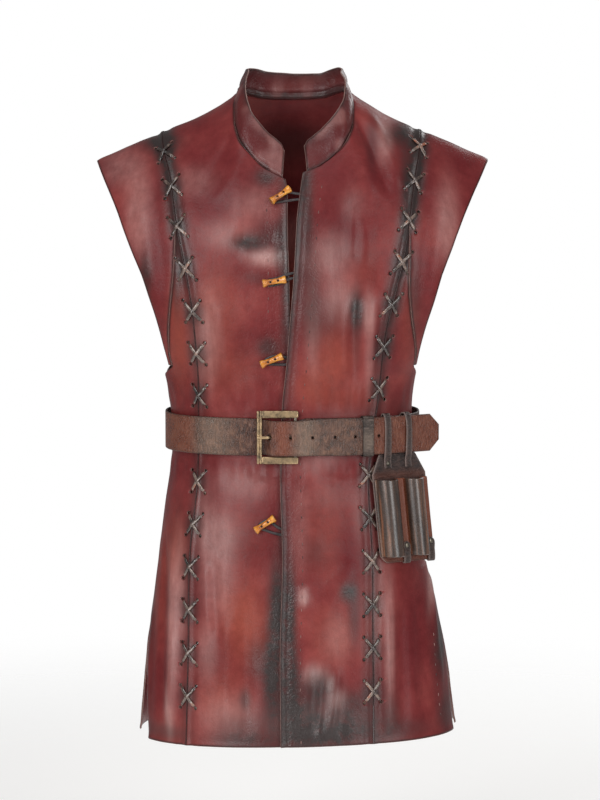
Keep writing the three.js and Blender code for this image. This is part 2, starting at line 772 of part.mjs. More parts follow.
const flatSection = ({ width, thick }) =>
  [[1, 1], [1, -1], [-1, -1], [-1, 1]].map(([a, b]) => [(a * width) / 2, (b * thick) / 2]);
const roundSection = (radius, sides) =>
  evenly(sides).slice(1).map((turn) => {
    const angle = 2 * Math.PI * turn;
    return [radius * Math.cos(angle), radius * Math.sin(angle)];
  });

const LACES = [
  { name: "lace_front_right", side: "right", back: false, first: 64, pitch: 56.5 },
  { name: "lace_front_left", side: "left", back: false, first: 69, pitch: 56.5 },
  { name: "lace_back_right", side: "right", back: true, first: 66, pitch: 73 },
  { name: "lace_back_left", side: "left", back: true, first: 66, pitch: 73 },
];
for (const lace of LACES) addNode(lace.name, makeLace(lace), "lace");

// ---------------------------------------------------------------- toggles, ties and loops
// Each toggle's middle and the turn of its length, with where its loop comes out from under the
// other front: how far along, how much higher, and how far apart its legs are there.
const TOGGLES = [
  { x: -15.8, z: -129.8, turn: 37, out: 24, rise: 0, apart: 6.4 },
  { x: -23.1, z: -237.9, turn: 10.4, out: 21, rise: 8.5, apart: 6.4 },
  { x: -26.1, z: -338.3, turn: 22.6, out: 18, rise: -2, apart: 9 },
  { x: -34.7, z: -551.9, turn: 34, out: 18, rise: -11, apart: 7 },
];
const TOGGLE_PROFILE = [
  { along: -15.6, radius: 4.7 },
  { along: -14.9, radius: 5.3 },
  { along: -10, radius: 4.3 },
  { along: 0, radius: 3.4 },
  { along: 10, radius: 4.3 },
  { along: 14.9, radius: 5.3 },
  { along: 15.6, radius: 4.7 },
];
const TOGGLE_LIFT = 8.3; // its middle above the leather
const BORE = { radius: 1.5, from: 5 }; // two drilled holes, this far from the middle
const TIE_RADIUS = 1.1;
const TIE_TOP = TOGGLE_LIFT + 2.8;
const TIE_HOLE = 1.4;
const LOOP = { width: 2.6, thick: 1.7 };
const LOOP_LIFT = 1.25;
const LOOP_ROOM = 3.1; // the loop's middle from the middle of each leg of the tie
const LOOP_UNDER = 20; // how far the loop reaches under the other front

// A spot over a front panel's own facets, by its distance from the middle and its height.
function onFront(panel, x, z, lift) {
  const path = pathOf(x, z, false);
  return spotOn(panel, path, shareAt(panel, path, x), lift);
}

TOGGLES.forEach(({ x, z, turn, out, rise, apart }, k) => {
  const { point, normal } = onFront(panels.front_right, x, z, 0);
  const right = vec(1, 0, 0).projectOnPlane(normal).normalize();
  const up = normal.clone().cross(right);
  const axis = right.clone().multiplyScalar(Math.cos(radians(turn)));
  axis.addScaledVector(up, Math.sin(radians(turn)));
  const across = normal.clone().cross(axis);
  const spot = (along, lift) =>
    point.clone().addScaledVector(axis, along).addScaledVector(normal, lift);
  const ring = (centre, radius, first, second, sides) =>
    roundSection(radius, sides).map(([a, b]) =>
      centre.clone().addScaledVector(first, a).addScaledVector(second, b),
    );
  const bore = (along, radius, low, high) =>
    solidOf(loft([ring(spot(along, high), radius, axis, across, 6),
      ring(spot(along, low), radius, axis, across, 6)]));

  const body = loft(TOGGLE_PROFILE.map(({ along, radius }) =>
    ring(spot(along, TOGGLE_LIFT), radius, across, normal, 12)));
  const bores = [-1, 1].map((hand) => bore(hand * BORE.from, BORE.radius, 2, 15));
  addNode(`toggle_${k + 1}`, cutBy(body, bores), "bamboo");

  const behind = -LEATHER - OUTSIDE - TIE_RADIUS / 2;
  const legs = [[-1, TIE_TOP], [-1, behind], [1, behind], [1, TIE_TOP]];
  const cord = legs.map(([hand, lift]) => ({
    point: spot(hand * BORE.from, lift), normal, wide: across,
  }));
  addNode(`toggle_tie_${k + 1}`, sweep(cord, roundSection(TIE_RADIUS, 6)), "cord");
  for (const hand of [-1, 1]) {
    panels.front_right.holes.push(bore(hand * BORE.from, TIE_HOLE, -5, 2));
  }

  // The loop: in from under the other front, round both legs of the tie, and out again.
  const leg = (hand) => [
    hand * BORE.from * Math.cos(radians(turn)),
    hand * BORE.from * Math.sin(radians(turn)),
  ];
  const turned = ([a, b], angle) => [
    a + LOOP_ROOM * Math.cos(radians(angle)), b + LOOP_ROOM * Math.sin(radians(angle)),
  ];
  const [near, far] = [leg(1), leg(-1)];
  const plan = [
    [out + LOOP_UNDER, rise + apart / 2], [out, rise + apart / 2],
    turned(near, 75 + turn / 2), turned(far, 100 + turn), turned(far, 145 + turn / 2),
    turned(far, 190 + turn / 2), turned(far, 230 + turn / 2), turned(far, 275),
    ...(rise > 0 ? [turned(near, 290)] : []),
    [out, rise - apart / 2], [out + LOOP_UNDER, rise - apart / 2],
  ];
  const loop = plan.map(([a, b]) => {
    const under = a > out - 2;
    return under
      ? onFront(panels.front_left, x + a, z + b, -LEATHER - LAP_GAP + LOOP_LIFT)
      : onFront(panels.front_right, x + a, z + b, LOOP_LIFT);
  });
  addNode(`loop_${k + 1}`, sweep(loop, flatSection(LOOP)), "cord");
});

// ---------------------------------------------------------------- belt
const BELT_RING = { right: 171, left: 168, front: 118.5, back: 114 };
// How far the inner face of the belt's tail stands off the ring, where it passes the buckle.
const TAIL_LIFT = [
  { x: -46, lift: 0 },
  { x: -37, lift: 0 },
  { x: -30, lift: 3.5 },
  { x: -22, lift: 9.2 },
  { x: -14, lift: 10.2 },
  { x: 8, lift: 10.3 },
  { x: 16, lift: 8.5 },
  { x: 30, lift: 4.5 },
  { x: 44, lift: 3.3 },
  { x: 56, lift: 3.3 },
];
const TAIL_LEAVES = 120; // the tail runs straight on from here, off the body
const TAIL_TIP = { x: 192, slope: 0.62, chamfer: 14 };
const BELT_HOLES = [-2, 26, 54.5, 80, 110];
const STRAP_START = 6.5; // where the inner layer starts, at its eye round the heel bar
const EYE = { x: 4, lift: 5.2, inner: 2.4, outer: 4.7, slot: 3 };
const BUCKLE = { left: -46, right: 8, leftBar: 7.5, rim: 10.3, back: -122, thick: 3.8, corner: 5 };
const BAR_ROOM = 0.6; // between the belt's edge and the frame's bars
const HEEL_RADIUS = 2;
const PRONG = { tip: -43, width: 4, thick: 2.2, gap: 0.3, inner: 2.3, outer: 4.3 };
const SLOT = { from: -32, to: -15, half: 2.6 };
const KEEPER = { x: 96, width: 15, thick: 1.6, inside: -0.5, outside: 6.8 };

function extruded(shape, depth) {
  return new THREE.ExtrudeGeometry(shape, { depth, bevelEnabled: false, curveSegments: 8 });
}
const shapeOf = (points) => new THREE.Shape(points.map(([a, b]) => new THREE.Vector2(a, b)));
// A block with its faces at the given limits.
function block([x0, x1], [y0, y1], [z0, z1]) {
  const size = vec(x1 - x0, y1 - y0, z1 - z0);
  const centre = vec((x0 + x1) / 2, (y0 + y1) / 2, (z0 + z1) / 2);
  return new THREE.BoxGeometry(size.x, size.y, size.z).translate(centre.x, centre.y, centre.z);
}
// Puts a geometry drawn facing -Y at a place of the plan, facing along `out`.
function placed(geometry, origin, out) {
  const facing = vec(out.x, out.y, 0).normalize();
  const along = vec(-facing.y, facing.x, 0);
  const basis = new THREE.Matrix4().makeBasis(along, facing.clone().negate(), vec(0, 0, 1));
  return geometry.applyMatrix4(basis.setPosition(origin.x, origin.y, 0));
}

// The belt's ring seen from above: angle 0 in front, growing towards the wearer's left.
function beltRing(angle, lift = 0) {
  const at = (a) => {
    const width = Math.sin(a) < 0 ? BELT_RING.right : BELT_RING.left;
    const depth = Math.cos(a) > 0 ? BELT_RING.front : BELT_RING.back;
    const power = 2 / ROUND;
    return vec(
      Math.sign(Math.sin(a)) * width * Math.abs(Math.sin(a)) ** power,
      -Math.sign(Math.cos(a)) * depth * Math.abs(Math.cos(a)) ** power,
      0,
    );
  };
  const run = at(angle + 0.01).sub(at(angle - 0.01));
  const out = vec(run.y, -run.x, 0).normalize();
  return { point: at(angle).addScaledVector(out, lift), out };
}
function beltAt(x, lift = 0) {
  const width = x < 0 ? BELT_RING.right : BELT_RING.left;
  return beltRing(Math.sign(x) * Math.asin((Math.abs(x) / width) ** (ROUND / 2)), lift);
}

// The run of the strap's inner face: once round from its eye, then the tail over the buckle.
function strapRun() {
  const run = [];
  const start = Math.asin((STRAP_START / BELT_RING.left) ** (ROUND / 2));
  const stop = 2 * Math.PI - Math.asin((-TAIL_LIFT[0].x / BELT_RING.right) ** (ROUND / 2));
  const steps = 44;
  run.push(beltRing(start));
  for (let k = 1; k < steps; k += 1) run.push(beltRing(lerp(start, stop, k / steps)));
  for (let x = TAIL_LIFT[0].x; x <= TAIL_LEAVES; x += x < 44 ? 4.5 : 9) {
    run.push(beltAt(x, pick(TAIL_LIFT, "x", "lift", x)));
  }
  const last = run.at(-1).point;
  const ahead = vec(1, TAIL_TIP.slope, 0).normalize();
  const out = vec(ahead.y, -ahead.x, 0);
  run.push({ point: last.clone().addScaledVector(ahead, 22), out });
  run.push({ point: last.clone().addScaledVector(ahead, (TAIL_TIP.x - last.x) / ahead.x), out });
  return run;
}

function makeStrap() {
  const run = strapRun();
  const outline = [
    ...run.map(({ point }) => [point.x, point.y]),
    ...run.toReversed().map(({ point, out }) => [
      point.x + out.x * BELT_LEATHER, point.y + out.y * BELT_LEATHER,
    ]),
  ];
  const height = BELT_TOP - BELT_BOTTOM;
  const strap = solidOf(extruded(shapeOf(outline), height).translate(0, 0, BELT_BOTTOM));
  const eyeAt = beltAt(EYE.x, EYE.lift).point;
  const annulus = new THREE.Shape().absarc(0, 0, EYE.outer, 0, 2 * Math.PI);
  annulus.holes.push(new THREE.Path().absarc(0, 0, EYE.inner, 0, 2 * Math.PI));
  const eye = solidOf(extruded(annulus, height).translate(eyeAt.x, eyeAt.y, BELT_BOTTOM));

  const slotHeights = (half) => [BELT_MIDDLE - half, BELT_MIDDLE + half];
  const cuts = [
    block([SLOT.from, SLOT.to], [-136, -119], slotHeights(SLOT.half)),
    block([-4, 11], [eyeAt.y - EYE.outer - 0.25, -110], slotHeights(EYE.slot)),
  ];
  for (const x of BELT_HOLES) {
    const { point, out } = beltAt(x, pick(TAIL_LIFT, "x", "lift", x) - 0.1);
    const drill = new THREE.CylinderGeometry(1.8, 1.8, 8, 8).translate(0, -4, 0);
    drill.translate(0, 0, BELT_MIDDLE);
    cuts.push(placed(drill, point, out));
  }
  const tip = run.at(-1);
  const { chamfer } = TAIL_TIP;
  for (const [edge, way] of [[BELT_TOP, -1], [BELT_BOTTOM, 1]]) {
    const corner = shapeOf([
      [-chamfer, edge - way], [1, edge - way], [1, edge + way * chamfer], [0, edge + way * chamfer],
      [-chamfer, edge],
    ]);
    const wedge = extruded(corner, 10).rotateX(Math.PI / 2).translate(0, 3, 0);
    cuts.push(placed(wedge, tip.point, tip.out));
  }
  const cut = strap.add(eye).subtract(joined(cuts.map(solidOf)));
  return geometryFrom(cut.asOriginal().simplify(SLIVER));
}
addNode("belt_strap", makeStrap(), "belt");

function makeFrame() {
  const top = BELT_TOP + BAR_ROOM + BUCKLE.rim;
  const bottom = BELT_BOTTOM - BAR_ROOM - BUCKLE.rim;
  const inset = BUCKLE.left + BUCKLE.leftBar;
  const { left, right, corner } = BUCKLE;
  const outline = shapeOf([
    [right, top], [left + corner, top], [left, top - corner], [left, bottom + corner],
    [left + corner, bottom], [right, bottom], [right, bottom + BUCKLE.rim],
    [inset, bottom + BUCKLE.rim], [inset, top - BUCKLE.rim], [right, top - BUCKLE.rim],
  ]);
  const plate = extruded(outline, BUCKLE.thick).rotateX(Math.PI / 2).translate(0, BUCKLE.back, 0);
  const heelLength = BELT_TOP - BELT_BOTTOM + 2 * BAR_ROOM + 8;
  const heel = new THREE.CylinderGeometry(HEEL_RADIUS, HEEL_RADIUS, heelLength, 12);
  const eyeAt = beltAt(EYE.x, EYE.lift).point;
  heel.rotateX(Math.PI / 2).translate(eyeAt.x, eyeAt.y, BELT_MIDDLE);
  return geometryFrom(solidOf(plate).add(solidOf(heel)));
}
addNode("buckle_frame", makeFrame(), "brass");

function makeProng() {
  const centre = beltAt(EYE.x, EYE.lift).point;
  const ring = new THREE.Shape().absarc(0, 0, PRONG.outer, 0, 2 * Math.PI);
  ring.holes.push(new THREE.Path().absarc(0, 0, PRONG.inner, 0, 2 * Math.PI));
  const low = BELT_MIDDLE - PRONG.width / 2;
  const eye = extruded(ring, PRONG.width).translate(centre.x, centre.y, low);
  const inner = BUCKLE.back - BUCKLE.thick - PRONG.gap;
  const outer = inner - PRONG.thick;
  const bar = shapeOf([
    [centre.x, inner], [PRONG.tip, inner], [PRONG.tip, outer + 0.7], [PRONG.tip + 1.5, outer],
    [centre.x, outer],
  ]);
  return geometryFrom(solidOf(eye).add(solidOf(extruded(bar, PRONG.width).translate(0, 0, low))));
}
addNode("buckle_prong", makeProng(), "brass");

// A band round the belt, drawn facing -Y: its opening and its outside as limits of lift and height.
function band(width, inside, outside, low, high, thick) {
  const outer = block([-width / 2, width / 2], [-outside - thick, -inside + thick],
    [low - thick, high + thick]);
  const hole = block([-width, width], [-outside, -inside], [low, high]);
  return solidOf(outer).subtract(solidOf(hole));
}
const keeperAt = beltAt(KEEPER.x);
const keeper = band(KEEPER.width, KEEPER.inside, KEEPER.outside, BELT_BOTTOM - SEAM,
  BELT_TOP + SEAM, KEEPER.thick);
addNode("belt_keeper", placed(geometryFrom(keeper), keeperAt.point, keeperAt.out), "belt");

// ---------------------------------------------------------------- carrier on the belt
const CARRIER = { x: 137, tilt: 0.065, lean: 0.075 }; // out and along, for each millimetre down
const PLATE = { back: 1, front: 3.5, top: -464, shoulder: -490, bottom: -606 };
const SHELL = { top: -496, bottom: -597, thick: 2.5, flange: 41, depth: 15.5 };
const TUBES = [
  { middle: -22.5, radius: 15.5 },
  { middle: 18, radius: 14.5 },
];
const BAND = 1.6;
const LOOPS = [
  { at: -17, width: 12, front: 7.2 },
  { at: 17, width: 11, front: 14.6 },
];
const LOOP_END = -482;
const STRAPS = [
  { at: -1.75, width: 9, top: -579 },
  { at: 37.2, width: 8.4, top: -576 },
];

// From the carrier's own frame, facing -Y with its belt above it, to its place on the belt.
function hung(geometry) {
  const position = geometry.getAttribute("position");
  for (let i = 0; i < position.count; i += 1) {
    const drop = Math.max(0, BELT_BOTTOM - position.getZ(i));
    position.setX(i, position.getX(i) + drop * CARRIER.lean);
    position.setY(i, position.getY(i) - drop * CARRIER.tilt);
  }
  const { point, out } = beltAt(CARRIER.x);
  return placed(geometry, point, out);
}
const board = (points, front, thick) =>
  extruded(shapeOf(points), thick).rotateX(Math.PI / 2).translate(0, -front + thick, 0);

addNode("carrier_back", hung(board([
  [-28, PLATE.top], [-41.5, PLATE.shoulder], [-41.5, PLATE.bottom + 9], [-34, PLATE.bottom],
  [34, PLATE.bottom], [41.5, PLATE.bottom + 9], [41.5, PLATE.shoulder], [28, PLATE.top],
], PLATE.front, PLATE.front - PLATE.back)), "carrier");

function makeShell() {
  const foot = PLATE.front + SEAM;
  const line = (lift, shrink) => [
    [-SHELL.flange, lift],
    ...TUBES.flatMap(({ middle, radius }) =>
      evenly(12).map((share) => {
        const angle = Math.PI * share;
        const reach = radius - shrink;
        return [middle - reach * Math.cos(angle), lift + SHELL.depth * Math.sin(angle)];
      })),
    [SHELL.flange, lift],
  ];
  const outline = [...line(foot, SHELL.thick).toReversed(), ...line(foot + SHELL.thick, 0)];
  const plan = shapeOf(outline.map(([a, lift]) => [a, -lift]));
  return extruded(plan, SHELL.top - SHELL.bottom).translate(0, 0, SHELL.bottom);
}
addNode("carrier_front", hung(makeShell()), "carrier");

// A strip bent in the plane of lift and height, drawn as its section and given its width.
function strip(section, at, width) {
  const points = section.map(([lift, z]) => [-lift, z]);
  const side = extruded(shapeOf(points), width); // lift and height in x and y, width in z
  const turn = new THREE.Matrix4().makeBasis(vec(0, 1, 0), vec(0, 0, 1), vec(1, 0, 0));
  return side.applyMatrix4(turn).translate(at - width / 2, 0, 0);
}

LOOPS.forEach(({ at, width, front }, k) => {
  const top = BELT_TOP + 1;
  const behind = -3.3;
  const below = BELT_BOTTOM - 0.5;
  const neck = below - 6;
  const [low, high] = [PLATE.back - SEAM, PLATE.front + SEAM];
  const outside = [
    [low - BAND, LOOP_END], [low - BAND, neck], [behind - BAND, below], [behind - BAND, top + 1],
    [behind - BAND + 1.5, top + BAND], [front + BAND - 1.5, top + BAND], [front + BAND, top + 1],
    [front + BAND, below], [high + BAND, neck], [high + BAND, LOOP_END],
  ];
  const inside = [
    [high, LOOP_END], [high, neck], [front, below], [front, top], [behind, top],
    [behind, below], [low, neck], [low, LOOP_END],
  ];
  addNode(`carrier_loop_${k + 1}`, hung(strip([...outside, ...inside], at, width)), "belt");
});

STRAPS.forEach(({ at, width, top }, k) => {
  const front = PLATE.front + SEAM + SHELL.thick + SEAM;
  const low = PLATE.back - SEAM;
  const under = PLATE.bottom - SEAM;
  const section = [
    [front, top], [front, under], [low, under], [low, top - 8], [low - BAND, top - 8],
    [low - BAND, under - BAND + 1], [low - BAND + 1, under - BAND],
    [front + BAND - 1, under - BAND], [front + BAND, under - BAND + 1], [front + BAND, top],
  ];
  addNode(`carrier_strap_${k + 1}`, hung(strip(section, at, width)), "belt");
});

const RIVETS = [
  { at: -17, z: -476, face: PLATE.front + SEAM + BAND },
  { at: -1.75, z: -584, face: PLATE.front + 2 * SEAM + SHELL.thick + BAND },
  { at: 37.2, z: -581, face: PLATE.front + 2 * SEAM + SHELL.thick + BAND },
];
RIVETS.forEach(({ at, z, face }, k) => {
  const rings = [[3, 0], [2.7, 0.8], [1.4, 1.6]].map(([radius, rise]) =>
    roundSection(radius, 10).map(([a, b]) => vec(at + a, -face - SEAM - rise, z + b)));
  addNode(`carrier_rivet_${k + 1}`, hung(loft(rings)), "brass");
});

// ---------------------------------------------------------------- panels, with their holes
for (const [name, panel] of Object.entries(panels)) {
  addNode(name, cutBy(wall(panel.outer, panel.inner), panel.holes), "jerkin");
}

export default group;
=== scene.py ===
# %% [markdown]
# # A leather jerkin with laced seams, its belt and a two-tube carrier
# The jerkin is a hip-length leather garment in nine pieces, thonged together at four long seams.
# It closes with bamboo toggles and leather loops, and a buckled belt goes round the waist.
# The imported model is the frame: every piece below lies where its solid lies, and stands for it.
# Lengths are worked out in millimetres and turned to metres when a mesh is made.

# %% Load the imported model
import functools
import math

import bmesh
import bpy
import numpy as np
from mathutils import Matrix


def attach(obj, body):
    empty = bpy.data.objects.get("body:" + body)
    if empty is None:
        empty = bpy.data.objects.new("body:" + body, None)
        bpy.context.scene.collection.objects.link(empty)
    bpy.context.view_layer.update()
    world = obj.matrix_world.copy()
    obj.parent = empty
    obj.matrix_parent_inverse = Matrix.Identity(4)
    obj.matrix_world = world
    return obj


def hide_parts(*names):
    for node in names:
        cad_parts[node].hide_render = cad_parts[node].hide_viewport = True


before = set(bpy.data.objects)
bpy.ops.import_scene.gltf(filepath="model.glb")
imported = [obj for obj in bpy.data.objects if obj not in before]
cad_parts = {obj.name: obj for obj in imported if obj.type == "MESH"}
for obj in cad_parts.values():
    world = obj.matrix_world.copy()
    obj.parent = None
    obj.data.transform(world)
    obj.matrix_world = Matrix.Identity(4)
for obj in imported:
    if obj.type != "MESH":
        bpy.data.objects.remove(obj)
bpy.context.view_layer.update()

MM = 0.001

# %% [markdown]
# ## Camera, floor and light
# A garment on a stand is usually shown from straight ahead and a little above, with a long lens
# so that the shoulders and the hem keep their proportions. The light is a big soft source in
# front, a weaker one on the other side, two small ones above and behind and a pale room all
# round, which leaves wide highlights on waxed leather. The floor is a plain pale sheet.

# %% Camera
scene = bpy.context.scene
TARGET = np.array([0.010, 0.0, -0.402])
DISTANCE = 4.0
ELEVATION = math.radians(5.5)


def add_object(name, data):
    """An object for a mesh, a lamp or a camera, put into the scene."""
    thing = bpy.data.objects.new(name, data)
    scene.collection.objects.link(thing)
    return thing


def looking_from(name, data, place, target):
    """Adds a camera or lamp at a place, turned to its target."""
    thing = add_object(name, data)
    thing.location = place
    from_target = thing.location - type(thing.location)(target)
    thing.rotation_euler = from_target.to_track_quat("Z", "Y").to_euler()
    return thing


lens = bpy.data.cameras.new("camera")
lens.lens = 135
lens.sensor_width = 36
lens.clip_end = 50
eye_place = TARGET + DISTANCE * np.array([0, -math.cos(ELEVATION), math.sin(ELEVATION)])
scene.camera = looking_from("camera", lens, eye_place, TARGET)
print("camera at", [round(float(v), 3) for v in eye_place])


# %% Light, room and floor
def to_linear(code):
    """An sRGB hex colour as linear red, green, blue and alpha."""
    parts = [int(code[i : i + 2], 16) / 255 for i in (1, 3, 5)]
    return [c / 12.92 if c <= 0.04045 else ((c + 0.055) / 1.055) ** 2.4 for c in parts] + [1]


def feed(node, inputs):
    """Gives a node's inputs, by name or in order, a value, a hex colour or another output."""
    for key, value in inputs.items() if isinstance(inputs, dict) else enumerate(inputs):
        if isinstance(value, bpy.types.NodeSocket):
            node.id_data.links.new(value, node.inputs[key])
        elif isinstance(value, str) and value.startswith("#"):
            node.inputs[key].default_value = to_linear(value)
        else:
            node.inputs[key].default_value = value


def add_node(tree, kind, inputs=(), give=0, stops=(), **settings):
    """Adds a node with its inputs, colour stops and settings, and gives back one output."""
    maker = "GeometryNode" if tree.type == "GEOMETRY" else "ShaderNode"
    node = tree.nodes.new(kind if "Node" in kind else maker + kind)
    for key, value in settings.items():
        setattr(node, key, value)
    feed(node, inputs)
    for k, (position, code) in enumerate(stops):
        ramp = node.color_ramp.elements
        stop = ramp[k] if k < 2 else ramp.new(position)
        stop.position, stop.color = position, to_linear(code)
    return None if give is None else node.outputs[give]


SOFT_BOXES = [
    # name, place, width, height, power in watts
    ("key_softbox", (-1.5, -2.9, 0.45), 1.4, 2.6, 68),
    ("fill_softbox", (1.9, -2.7, 0.25), 1.2, 2.6, 45),
    ("top_softbox", (0.0, -1.2, 2.1), 1.5, 0.8, 14),
    ("rim_softbox", (1.6, 2.2, 0.8), 1.0, 1.8, 22),
]
for name, place, width, height, power in SOFT_BOXES:
    lamp = bpy.data.lights.new(name, "AREA")
    lamp.shape = "RECTANGLE"
    lamp.size, lamp.size_y, lamp.energy = width, height, power
    looking_from(name, lamp, place, (0, 0, -0.4))

room = bpy.data.worlds.new("pale_room")
room.use_nodes = True
# A white room to look at, and a dimmer one to be lit by, as a studio's far walls are.
seen = add_node(room.node_tree, "LightPath", give="Is Camera Ray")
strength = add_node(room.node_tree, "MapRange", {"Value": seen, "To Min": 0.26})
feed(room.node_tree.nodes["Background"], {"Color": "#ffffff", "Strength": strength})
scene.world = room
scene.view_settings.view_transform = "Standard"

paper = bpy.data.materials.new("matt_paper")
paper.use_nodes = True
# The sheet fades out 2.4 m from its middle, so that it has no hard edge in the distance.
place = add_node(paper.node_tree, "TexCoord", give="Object")
reach = add_node(paper.node_tree, "VectorMath", [place], "Value", operation="LENGTH")
fade = add_node(paper.node_tree, "MapRange", (reach, 0.9, 2.4, 1.0, 0.0),
                interpolation_type="SMOOTHSTEP")
feed(paper.node_tree.nodes["Principled BSDF"], {
    "Base Color": "#f4f3f1", "Roughness": 0.9, "Emission Color": "#ffffff",
    "Emission Strength": 0.32, "Alpha": fade})
FLOOR_SIDE = 3
FLOOR_DROP = -1.12
corners = [(a * FLOOR_SIDE, b * FLOOR_SIDE, 0) for a, b in ((-1, -1), (1, -1), (1, 1), (-1, 1))]
floor_mesh = bpy.data.meshes.new("floor")
floor_mesh.from_pydata(corners, [], [(0, 1, 2, 3)])
floor_mesh.materials.append(paper)
floor = add_object("floor", floor_mesh)
floor.location.z = FLOOR_DROP
print("stage: floor,", len(SOFT_BOXES), "lamps")

# %% [markdown]
# ## The form of the jerkin
# Nine flat pieces of leather make one smooth form: upright rings round the body up to the chest,
# and above that a roll over the shoulders. It could be sculpted, or subdivided from a coarse cage.
# Here it is a rule, the same one as the solids follow: an angle round the body and a path from
# the front hem over the shoulder to the back hem give a point. Each seam is then a short table.

# %% Sizes and tables of the form
LEATHER = 2.0
SEAM = 0.3
# The side seam is sewn edge to edge, so no daylight shows through it.
BUTT_SEAM = 0.02
CHEST = -230.0
HEM = -843.0
HEM_TILT = 0.02
RIDGE_Y = 6.0
ROUND = 2.4
ROLL = 1.7
LAP = 4.5
RIDGE_TURN = 100.0
MEET_BELOW = 70.0
TURN_BELOW = 42.0
TURN_ABOVE = 20.0
FULL_TURN = 200.0
WING_LOWEST = -352.0
SIDE_SEAM_TOP = -374.0
WING_TOP_OF_SIDE = 26.0
SIDE_TIP = 2.0


def numbers(text):
    """Rows of numbers, written with spaces between the numbers and commas between the rows."""
    return np.array([row.split() for row in text.split(",")], float)


def table(columns, text):
    """A short table, kept as one array for each named column."""
    return dict(zip(columns.split(), numbers(text).T))


RINGS = table("z right left front back", """
    -230 275 272 118 112, -285 222 220 119 113, -315 200 197 118 112, -340 184 180 117 110,
    -370 169 164 116 108, -412 162 159 113 104, -440 160 159 112 103, -466 160 162 113 106,
    -551 171 169 120 119, -611 180 175 124 126, -679 189 193 128 132, -742 198 206 132 136,
    -850 207 221 138 142
""")
RIDGE = table("x right left rightBack leftBack", """
    0 -22 -22 16 16, 40 -8 -8 15 16, 67 11 15 11 15, 83 -1 4 -1 4, 106 -16 -11 -16 -11,
    130 -28 -26 -28 -26, 159 -41 -40 -41 -40, 189 -54 -52 -54 -52, 222 -67 -65 -67 -65,
    262 -84 -80 -84 -80
""")
LACED_SEAM = table("z right left", """
    -845 139 106, -724 136 105, -610 133 104, -505 124 99, -440 122 104, -386 122 112,
    -325 125 118, -279 129 126, -213 140 142, -162 150 151, -104 159 160, -70 168 166, -45 172 168
""")
LACED_SEAM_BACK = table("z right left", """
    -845 134 130, -724 130 128, -610 124 122, -505 118 117, -386 121 120, -325 126 125,
    -279 132 131, -213 142 142, -162 149 150, -104 158 159, -70 167 165, -45 172 168
""")
WING_SEAM = table("z right left", """
    -352 160 161, -335 163 162, -310 162.5 159, -280 160 154.5, -250 157 152, -210 153.5 151.5,
    -165 151 152
""")
ARMHOLE = table("z right left", """
    -352 165 165, -332 170 168, -307 175 173, -278 182 181, -230 198 196, -190 214 211,
    -138 234 233, -107 249 248, -82 260 260
""")
NECK_FRONT = table("z right left", """
    -107 10 7, -101 19 14, -91 38 36, -73 56 58, -53 70 72, -30 76 80, -7 77 80, 6 73 74
""")
NECK_BACK = table("x path", "0 120, 40 118, 58 112.5, 72 106.6")
FRONT_EDGES = table("z under over", """
    -845 8 -15, -731 8 -16, -599 8 -13, -481 6 -16, -397 4 -13, -349 2 -8, -300 -2 -4, -228 -4 2,
    -159 -6 6, -127 -6 10, -101 -10 14
""")
VENT = table("z right left", "-843 67 77, -790 71 80, -735 78 84, -680 90 90")
NECK_START = {"right": 44.0, "left": 46.0}


def pick(rows, by, column, at):
    """A smooth value from a table, without overshoot between its rows."""
    x, y = rows[by], rows[column]
    if x[0] > x[-1]:
        x, y = x[::-1], y[::-1]
    slope = np.diff(y) / np.diff(x)
    before, after = slope[:-1], slope[1:]
    same = before * after > 0
    mean = np.where(same, 2 * before * after / np.where(same, before + after, 1), 0)
    tangent = np.concatenate([slope[:1], mean, slope[-1:]])
    at = np.clip(at, x[0], x[-1])
    i = np.clip(np.searchsorted(x, at, side="right") - 1, 0, len(x) - 2)
    step = x[i + 1] - x[i]
    t = (at - x[i]) / step
    return (
        y[i] * (1 + 2 * t) * (1 - t) ** 2 + tangent[i] * step * t * (1 - t) ** 2
        + y[i + 1] * t * t * (3 - 2 * t) + tangent[i + 1] * step * t * t * (t - 1)
    )


def smooth(x, low, high):
    """0 below low, 1 above high, and a soft step between."""
    t = np.clip((np.asarray(x, float) - low) / (high - low), 0, 1)
    return t * t * (3 - 2 * t)


def hill(x, middle, width):
    """1 at the middle, and falling away smoothly over the width."""
    return np.exp(-(((x - middle) / width) ** 2))


def run_of(points):
    """How far along a line each of its points lies."""
    steps = np.linalg.norm(np.diff(points, axis=0), axis=1)
    return np.concatenate([[0], steps.cumsum()])


def unit(v):
    """Vectors at length 1."""
    return v / np.maximum(np.linalg.norm(v, axis=-1, keepdims=True), 1e-9)


print("form:", len(RINGS["z"]), "rings,", len(RIDGE["x"]), "places on the shoulder ridge")

# %% Points and directions on the form
SIGN = {"right": -1.0, "left": 1.0}
UP = np.array([0.0, 0, 1])
AHEAD = np.array([0.0, -1, 0])
ASIDE = np.array([1.0, 0, 0])


def height_of(path):
    return np.where(path < 0, CHEST + path, CHEST - (path - FULL_TURN))


def to_front(path):
    """The place in front as far from the chest as a place behind is."""
    return np.where(path > RIDGE_TURN, FULL_TURN - path, path)


def by_side(rows, by, around, at):
    """A table's value for the wearer's right where `around` is negative, else for the left."""
    return np.where(around < 0, pick(rows, by, "right", at), pick(rows, by, "left", at))


def width_at(around, path):
    rolled = (path >= 0) & (path <= FULL_TURN)
    return by_side(RINGS, "z", around, np.where(rolled, CHEST, height_of(path)))


def ridge_height(x, path):
    front = by_side(RIDGE, "x", x, np.abs(x))
    back = np.where(x < 0, pick(RIDGE, "x", "rightBack", np.abs(x)),
                    pick(RIDGE, "x", "leftBack", np.abs(x)))
    return np.where(path > RIDGE_TURN, back, front)


